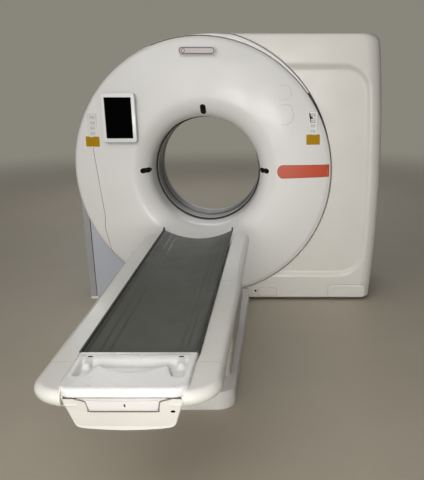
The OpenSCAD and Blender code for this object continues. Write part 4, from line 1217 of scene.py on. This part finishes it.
# %% The housing's skin
def housing_row(z, columns=96, round_steps=10):
    """One level: seam, face, rolled edge and side, as points of (x, depth, z)."""
    ease = round_fall(z - (HOUSE_TOP - TOP_EASE), TOP_EASE)
    left, right = seam_x(z), wall_x(z)
    row = [(left, SEAM_BACK), (left, HOUSE_FACE - 0.006 - ease), (left + 0.0015, HOUSE_FACE - 0.002 - ease)]
    a, b = left + SEAM_BAND, right - HOUSE_ROUND
    for k in range(columns + 1):
        x = a + (b - a) * k / columns
        row.append((x, house_depth(x, z) - ease))
    for k in range(1, round_steps + 1):
        t = math.pi / 2 * k / round_steps
        row.append((right - HOUSE_ROUND + HOUSE_ROUND * math.sin(t),
                    HOUSE_FACE - HOUSE_ROUND + HOUSE_ROUND * math.cos(t) - ease * math.cos(t)))
    row += [(right, d) for d in SIDE_STATIONS]
    return [(x, -d, z) for x, d in row]


def housing_skin(rows=190):
    start = HOUSE_TOP - TOP_EASE
    levels = [HOUSE_LOW + (start - HOUSE_LOW) * i / rows for i in range(rows + 1)]
    levels += [start + TOP_EASE * math.sin(math.radians(a)) for a in (22, 45, 67, 90)]
    grid = [housing_row(z) for z in levels]
    wide = len(grid[0])
    points = [p for row in grid for p in row]
    faces = grid_faces(len(grid), wide)
    last = (len(grid) - 1) * wide
    side = wide - 4
    back = len(points)
    points += [(points[last + k][0], -HOUSE_BACK, HOUSE_TOP) for k in range(side)]
    back_of = list(range(back, back + side)) + [last + wide - 1]
    faces += [(last + k, last + k + 1, back_of[k + 1], back_of[k]) for k in range(side - 1)]
    faces.append((last + side - 1, *range(last + side, last + side + 4), back_of[side - 1]))
    made = new_piece("housing_moulding", points, faces, finish_by_node["right_housing"])
    shell = made.modifiers.new("wall", "SOLIDIFY")
    shell.thickness = WALL
    shell.offset = -1.0
    return sharp_past(made, 50)


ride_like(housing_skin(), "right_housing", replace=True)

# %% [markdown]
# ## Lids at the foot of the housing
# A service flap, a small cover over the cables and a plug hole sit low on the housing. A lid could be cut out
# of the skin. A dark ribbon for its gap and a plate a millimetre proud of the skin show the same from a step
# away, and leave the skin whole. The plug hole is a dark plate, painted shade where the hole would be.


# %% The service flap, the small cover and the plug hole
def laid_lid(node, outline):
    laid_ribbon(node + "_gap", outline, house_depth, seam_dark, width=0.0030, lift=0.0003, closed=True,
                like="right_housing")
    laid_plate(node + "_lid", outline, house_depth, finish_by_node[node], lift=0.0012, edge=0.002,
               like=node, replace=True)


laid_lid("service_flap", round_outline(0.838, 0.021, 1.098, 0.112, 0.014))
laid_lid("cable_cover", round_outline(0.343, 0.030, 0.474, 0.088, 0.008))
# The plug hole is a dark plate: painted shade where the hole would be.
laid_plate("plug_hole", oval(0.325, 0.068, 0.008, 0.008, 20), house_depth, dark_film_and_hole_shade, lift=0.0003,
           like="right_housing")

# %% [markdown]
# ## The crown band
# At the top, a skin stands proud between the round cover and the housing, and tapers away to the left. It
# could be a boolean of two cylinders. Its outline is simply the nearer of two circles, so one section is
# carried round the cover and reaches out to that circle.

# %% The crown band above the round cover
BAND_START, BAND_TURN, BAND_NEAR = 112, 76, 0.8555
BAND_FRONT, BAND_BACK, BAND_EASE, BAND_LEAST = 0.332, -0.404, 0.008, 0.0008
BAND_CIRCLES = ((0.074, 0.668, 1.100), (RIM_X, RIM_Z, 0.872))


def band_reach(ca, sa):
    """From the round cover's middle to the nearer of the two circles."""
    reaches = []
    for cx, cz, r in BAND_CIRCLES:
        dx, dz = cx - DISC_X, cz - DISC_Z
        along = dx * ca + dz * sa
        reaches.append(along + math.sqrt(max(0.0, along ** 2 - dx ** 2 - dz ** 2 + r * r)))
    return min(reaches)


def crown_band(steps=150):
    near, front = BAND_NEAR, BAND_FRONT
    points = []
    for i in range(steps + 1):
        a = math.radians(BAND_START - BAND_TURN * i / steps)
        ca, sa = math.cos(a), math.sin(a)
        far = near + BAND_LEAST + max(band_reach(ca, sa) - near, 0.0) * ramp(i / steps * 5)
        ease = min(BAND_EASE, (far - near) * 0.45)
        section = [(near, front - 0.05), (near, front - 0.001), (near + 0.0006, front)]
        section += [(far - ease + ease * math.sin(t), front - ease + ease * math.cos(t))
                    for t in (math.pi / 2 * k / 4 for k in range(5))]
        section += [(far, BAND_BACK), (near - 0.004, BAND_BACK), (near - 0.004, 0.27)]
        points += [(DISC_X + r * ca, -d, DISC_Z + r * sa) for r, d in section]
    n = len(section)
    faces = turned_over(tube_faces(steps + 1, n))
    faces += [tuple(range(n)), tuple(steps * n + k for k in range(n))[::-1]]
    return new_piece("crown_band", points, faces, finish_by_node["rim_cover"])


ride_like(sharp_past(crown_band(), 40), "rim_cover")

# %% [markdown]
# ## The cradle's lines and lips
# The cradle is a concave carbon-fibre tray with fine lines along it and a thin raised lip on each side. The
# lines could be in its finish, but they would smear where the tray bends. So each is a long thin strip that
# follows the hollow by the rule of its circle. A lip is one section carried along the edge, and its tip at
# the head end rises a little.

# %% The hollow of the cradle
CRADLE_TOP, TRAY_HALF, TRAY_SAG = 0.632, 0.214, 0.057
CRADLE_FOOT_Y, CRADLE_HEAD_Y = -2.668, -0.826
TRAY_R = (TRAY_HALF ** 2 + TRAY_SAG ** 2) / (2 * TRAY_SAG)
cradle_line = moulded("cradle_line", (0.055, 0.056, 0.050), smooth=(0.4, 0.5), bump=0.0, dust=0.0)
cradle_faint = moulded("cradle_faint", (0.078, 0.080, 0.072), smooth=(0.4, 0.5), bump=0.0, dust=0.0)
lip_dark = moulded("cradle_lip_dark", (0.050, 0.052, 0.046), smooth=(0.4, 0.55), dust=0.0)


def tray_height(x):
    return CRADLE_TOP - TRAY_SAG + TRAY_R - math.sqrt(TRAY_R ** 2 - x * x)


print("the tray's hollow has a radius of", round(TRAY_R, 4), "m")

# %% Fine lines along the cradle
LINE_SPANS = ((0.014, 0.024), (0.052, 0.059), (0.080, 0.088))


def long_strip(name, x0, x1, material, lift=0.0005, deep=0.001, n=4):
    """A thin closed strip that runs along the cradle and follows its hollow."""
    xs = [x0 + (x1 - x0) * k / (n - 1) for k in range(n)]
    points = [(x, y, tray_height(x) + up) for y in (CRADLE_FOOT_Y, CRADLE_HEAD_Y) for up in (lift, -deep)
              for x in xs]
    faces = []
    for k in range(n - 1):
        faces += [(k, k + 1, 2 * n + k + 1, 2 * n + k), (n + k + 1, n + k, 3 * n + k, 3 * n + k + 1)]
    faces += [(n, 0, 2 * n, 3 * n), (n - 1, 2 * n - 1, 4 * n - 1, 3 * n - 1)]
    faces += [(*range(n, 2 * n), *reversed(range(n))),
              (*range(2 * n, 3 * n), *reversed(range(3 * n, 4 * n)))]
    return ride_like(new_piece(name, points, faces, material, smooth=False), "tabletop_cradle")


for i, (a, b) in enumerate(LINE_SPANS):
    long_strip(f"cradle_line_left_{i + 1}", a - TRAY_HALF, b - TRAY_HALF, cradle_faint if i else cradle_line)
    long_strip(f"cradle_line_right_{i + 1}", TRAY_HALF - b, TRAY_HALF - a, cradle_faint)

# %% The raised lips
LIP_SECTION = [(0.2138, 0.628), (0.2138, 0.6345), (0.2118, 0.6365), (0.207, 0.6365), (0.2045, 0.6345),
               (0.2035, 0.626)]
LIP_STATIONS = [(CRADLE_FOOT_Y, 0.0), (-0.856, 0.0), (-0.846, 0.003), (-0.836, 0.007), (-0.828, 0.010),
                (-0.8245, 0.010)]
LIP_TURN_Z = 0.63


def cradle_lip(name, side):
    """One lip; the upper points of its section rise at the tip, and the lower ones stay in the tray."""
    points = [(side * x, y, z + (up if z > LIP_TURN_Z else 0))
              for y, up in LIP_STATIONS for x, z in LIP_SECTION]
    n = len(LIP_SECTION)
    faces = tube_faces(len(LIP_STATIONS), n)
    faces += [tuple(range(n))[::-1], tuple((len(LIP_STATIONS) - 1) * n + k for k in range(n))]
    if side > 0:
        faces = [face[::-1] for face in faces]
    made = outward(new_piece(name, points, faces, lip_dark))
    return ride_like(sharp_past(made, 35), "tabletop_cradle")


cradle_lip("cradle_lip_left", -1)
cradle_lip("cradle_lip_right", 1)

# %% [markdown]
# ## The foot cover
# The cradle ends in a white moulded cover. Its top has a wide pocket behind an edge shaped like a smile, with
# two hooks standing in it and a slot for a strap behind each. It could be sculpted. A height field does the
# same by rule: each feature is a soft ramp, and the ramps are multiplied where they meet.

# %% The foot cover's rule
FOOT_Y0, FOOT_Y1, FOOT_HALF, FOOT_CORNER, FOOT_EASE = -2.6715, -2.962, 0.2125, 0.055, 0.022
REAR_WALL, POCKET_DEEP, POCKET_HALF = -2.712, 0.018, 0.192
SMILE_Y, SMILE_RISE, SMILE_X, SMILE_END = -2.838, 0.053, 0.11, 0.125
SIDE_X, SIDE_Y, SIDE_SOFT = 0.112, -2.868, 0.040
FRONT_SOFT, REAR_SOFT, END_SOFT = 0.030, 0.050, 0.020
HOOK_X, HOOK_HALF, HOOK_Y, HOOK_SOFT, HOOK_SHARE = 0.163, 0.015, -2.792, 0.035, 0.9
SWELL, SWELL_X, SWELL_Y, SWELL_SOFT = 0.0022, 0.200, REAR_WALL + 0.012, 0.020


def foot_half(y):
    return FOOT_HALF - round_fall(FOOT_Y1 + FOOT_CORNER - y, FOOT_CORNER)


def foot_height(x, y):
    """The top with its pocket, the hooks that stand in it and a slight swell along its rear wall."""
    ax = abs(x)
    smile = SMILE_Y + SMILE_RISE * (min(ax, SMILE_END) / SMILE_X) ** 2
    side = ramp((ax - SIDE_X) / SIDE_SOFT)
    front = smile * (1 - side) + SIDE_Y * side
    drop = POCKET_DEEP * (ramp((y - front) / FRONT_SOFT) * ramp((REAR_WALL - y) / REAR_SOFT)
                          * ramp((POCKET_HALF - ax) / END_SOFT))
    across = (ax - HOOK_X) / HOOK_HALF
    if abs(across) < 1:
        drop *= 1 - HOOK_SHARE * math.sqrt(1 - across * across) * ramp((y - HOOK_Y) / HOOK_SOFT)
    swell = SWELL * ramp(1 - abs(y - SWELL_Y) / SWELL_SOFT)
    return CRADLE_TOP - drop + swell * ramp((SWELL_X - ax) / SWELL_SOFT)


print("the pocket's floor is at", round(foot_height(0.0, -2.78), 4), "m")


# %% The foot cover as a height field
def foot_row(y, columns=110, low=0.604):
    """One row across the cover: up the left side, over the top and down the right side."""
    half = foot_half(y)
    fall = round_fall(FOOT_Y1 + FOOT_EASE - y, FOOT_EASE)
    rim = [(half, low), (half, CRADLE_TOP - 0.008 - fall), (half - 0.002, CRADLE_TOP - 0.002 - fall)]
    row = [(-x, y, z) for x, z in rim]
    for k in range(columns + 1):
        x = 0.007 - half + (2 * half - 0.014) * k / columns
        row.append((x, y, foot_height(x, y) - fall))
    return row + [(x, y, z) for x, z in reversed(rim)]


def foot_moulding(rows=96):
    grid = [foot_row(FOOT_Y0 + (FOOT_Y1 - FOOT_Y0) * (1 - (1 - i / rows) ** 1.25)) for i in range(rows + 1)]
    wide = len(grid[0])
    last = rows * wide
    faces = turned_over(grid_faces(rows + 1, wide))
    faces += [tuple(range(wide)), tuple(last + k for k in range(wide))[::-1]]
    faces += [(i * wide, i * wide + wide - 1, (i + 1) * wide + wide - 1, (i + 1) * wide) for i in range(rows)]
    return new_piece("foot_cover_moulding", [p for row in grid for p in row], faces, foot_white)


ride_like(sharp_past(foot_moulding(), 55), "tabletop_foot", replace=True)

# %% [markdown]
# ## The apron and the lower cover
# Below the foot hangs a small white apron, and behind it a cream lower cover closes the table's underside.
# They could be one cut block. The lower cover is two pieces here, because its front leans and has an eased
# rim, while the trough behind it is low in the middle, where the carrier runs. All are half outlines,
# mirrored, with softened corners. They ride on the lifting table, so they stay when the cradle runs in.


# %% Outlines with softened corners
def softened_corners(outline, r, steps=4):
    out = []
    n = len(outline)
    for i, p in enumerate(outline):
        a, b = outline[i - 1], outline[(i + 1) % n]
        la, lb = math.dist(p, a), math.dist(p, b)
        ra, rb = min(r, la * 0.4), min(r, lb * 0.4)
        pa = [p[j] + (a[j] - p[j]) * ra / la for j in (0, 1)]
        pb = [p[j] + (b[j] - p[j]) * rb / lb for j in (0, 1)]
        out += [tuple((1 - t) ** 2 * pa[j] + 2 * t * (1 - t) * p[j] + t * t * pb[j] for j in (0, 1))
                for t in (k / steps for k in range(steps + 1))]
    return out


def other_side(half):
    """The mirrored points of a half outline, from its end back to its start."""
    return [(-x, z) for x, z in reversed(half)]


# %% The apron and the lower cover
LEAN = 0.12
APRON_Y, APRON_TOP = -2.9580, 0.603
BELLY_Y, BELLY_TOP, BELLY_BACK_Y, BELLY_FRONT_Y = -2.955, 0.6035, -1.795, -2.940
APRON_HALF = [(0.112, 0.553), (0.120, 0.590), (0.166, APRON_TOP)]
TROUGH_HALF = [(0.060, 0.4740), (0.125, 0.4790), (0.152, 0.4830), (0.164, 0.4920), (0.181, 0.5450),
               (0.1985, 0.5920), (0.199, 0.604), (0.189, 0.604), (0.172, 0.550)]
BELLY_HALF = [(0.060, 0.4722), (0.125, 0.4775), (0.153, 0.4815), (0.167, 0.4920), (0.184, 0.5450),
              (0.2005, 0.5920), (0.2010, BELLY_TOP)]


def belly_trough():
    outline = softened_corners([(0.0, 0.4724)] + TROUGH_HALF + other_side(TROUGH_HALF), 0.012)
    n = len(outline)
    points = [(x, y, z) for y in (BELLY_BACK_Y, BELLY_FRONT_Y) for x, z in outline]
    faces = tube_faces(2, n) + [tuple(range(n)), tuple(n + k for k in range(n))[::-1]]
    made = outward(new_piece("belly_trough", points, faces, finish_by_node["belly_cover"]), cut_caps=True)
    return ride_like(sharp_past(made, 50), "belly_cover", replace=True)


front_plate("foot_apron", softened_corners(APRON_HALF + other_side(APRON_HALF), 0.006), foot_white,
            "belly_cover", y_front=APRON_Y, thick=0.020, ease=0.003, lean=LEAN)
belly_trough()
belly_outline = softened_corners([(0.0, 0.4705)] + BELLY_HALF + other_side(BELLY_HALF), 0.012)
front_plate("belly_front", belly_outline, finish_by_node["belly_cover"], "belly_cover", y_front=BELLY_Y,
            thick=0.045, ease=0.009, lean=LEAN)

# %% [markdown]
# ## Small marks on the table
# The foot has two strap slots, the apron a fine line and a dot, and the lower cover an oval and the dark gap
# under the apron. Three short seams cross the surround. All could be cut, at the cost of thin faces. They are
# plates and ribbons again, laid on leaning faces and, turned flat, on level ones. The slots, the dot and the
# oval are recesses, and their dark plates are painted shade.

# %% Slots, lines and dots on the foot
SLOT_Z0, SLOT_Z1, SLOT_HALF = -2.7135, -2.7065, 0.009
GAP_HALF = [(-0.190, 0.6005), (-0.176, 0.5995), (-0.126, 0.5865), (-0.1175, 0.576), (-0.1135, 0.552),
            (-0.107, 0.5462)]


def leaning(depth, top):
    """A surface that leans like the apron and the lower cover."""
    return lambda x, z: depth - (top - z) * LEAN


apron_face = leaning(-APRON_Y + 0.0001, APRON_TOP)
belly_face = leaning(-BELLY_Y + 0.0002, BELLY_TOP)
# Dark plates in the strap slots are painted shade.
for side, x in (("left", -HOOK_X), ("right", HOOK_X - 0.004)):
    laid_plate(f"hook_slot_{side}", round_outline(x - SLOT_HALF, SLOT_Z0, x + SLOT_HALF, SLOT_Z1, 0.003),
               foot_height, dark_film_and_hole_shade, lift=0.0004, like="tabletop_foot", level=True)
laid_ribbon("apron_line", [(-0.118, 0.5905), (-0.04, 0.5885), (0.04, 0.5885), (0.118, 0.5905)], apron_face,
            seam_soft, width=0.0014, lift=0.0003, like="belly_cover")
# The dot and the oval are recesses; their dark plates are painted shade.
laid_plate("apron_dot", oval(0.006, 0.571, 0.003, 0.006, 16), apron_face, dark_film_and_hole_shade, lift=0.0004,
           like="belly_cover")
laid_plate("belly_oval", oval(0.160, 0.546, 0.008, 0.0045, 20), belly_face, dark_film_and_hole_shade, lift=0.0004,
           like="belly_cover")
laid_ribbon("apron_gap", GAP_HALF + [(0.0, 0.5458)] + other_side(GAP_HALF), belly_face, seam_dark,
            width=0.0052, lift=0.0003, step=0.006, like="belly_cover")

# %% Seams across the surround
SURROUND_TOP = 0.620
SURROUND_SEAMS = {"seam_head_right": (-1.809, 0.222, 0.272), "seam_foot_left": (-2.727, -0.300, -0.222),
                  "seam_foot_right": (-2.727, 0.222, 0.300)}

for name, (y, xa, xb) in SURROUND_SEAMS.items():
    laid_ribbon(name, [(xa, y), ((xa + xb) / 2, y), (xb, y)], flat(SURROUND_TOP), seam_soft, width=0.0026,
                lift=0.0003, like="table_surround", level=True)

# %% [markdown]
# ## The foot of the left panels
# A thin line crosses the blue-grey panel near the floor, and a small white block shows at the corner panel's
# foot. They could be CAD parts. At this size a ribbon and a plate with an eased rim are enough.

# %% Small things at the foot of the left panels
PANEL_FACE, PANEL_LINE_Z = 0.3181, 0.112

laid_ribbon("left_panel_line", [(x, PANEL_LINE_Z) for x in (-0.798, -0.55, -0.30)], flat(PANEL_FACE),
            seam_soft, width=0.0030, lift=0.0003, like="left_front_panel")
front_plate("corner_foot_block", round_outline(-0.850, 0.001, -0.797, 0.0195, 0.003), satin_white,
            "left_corner_panel", y_front=-0.319, thick=0.060, ease=0.002)
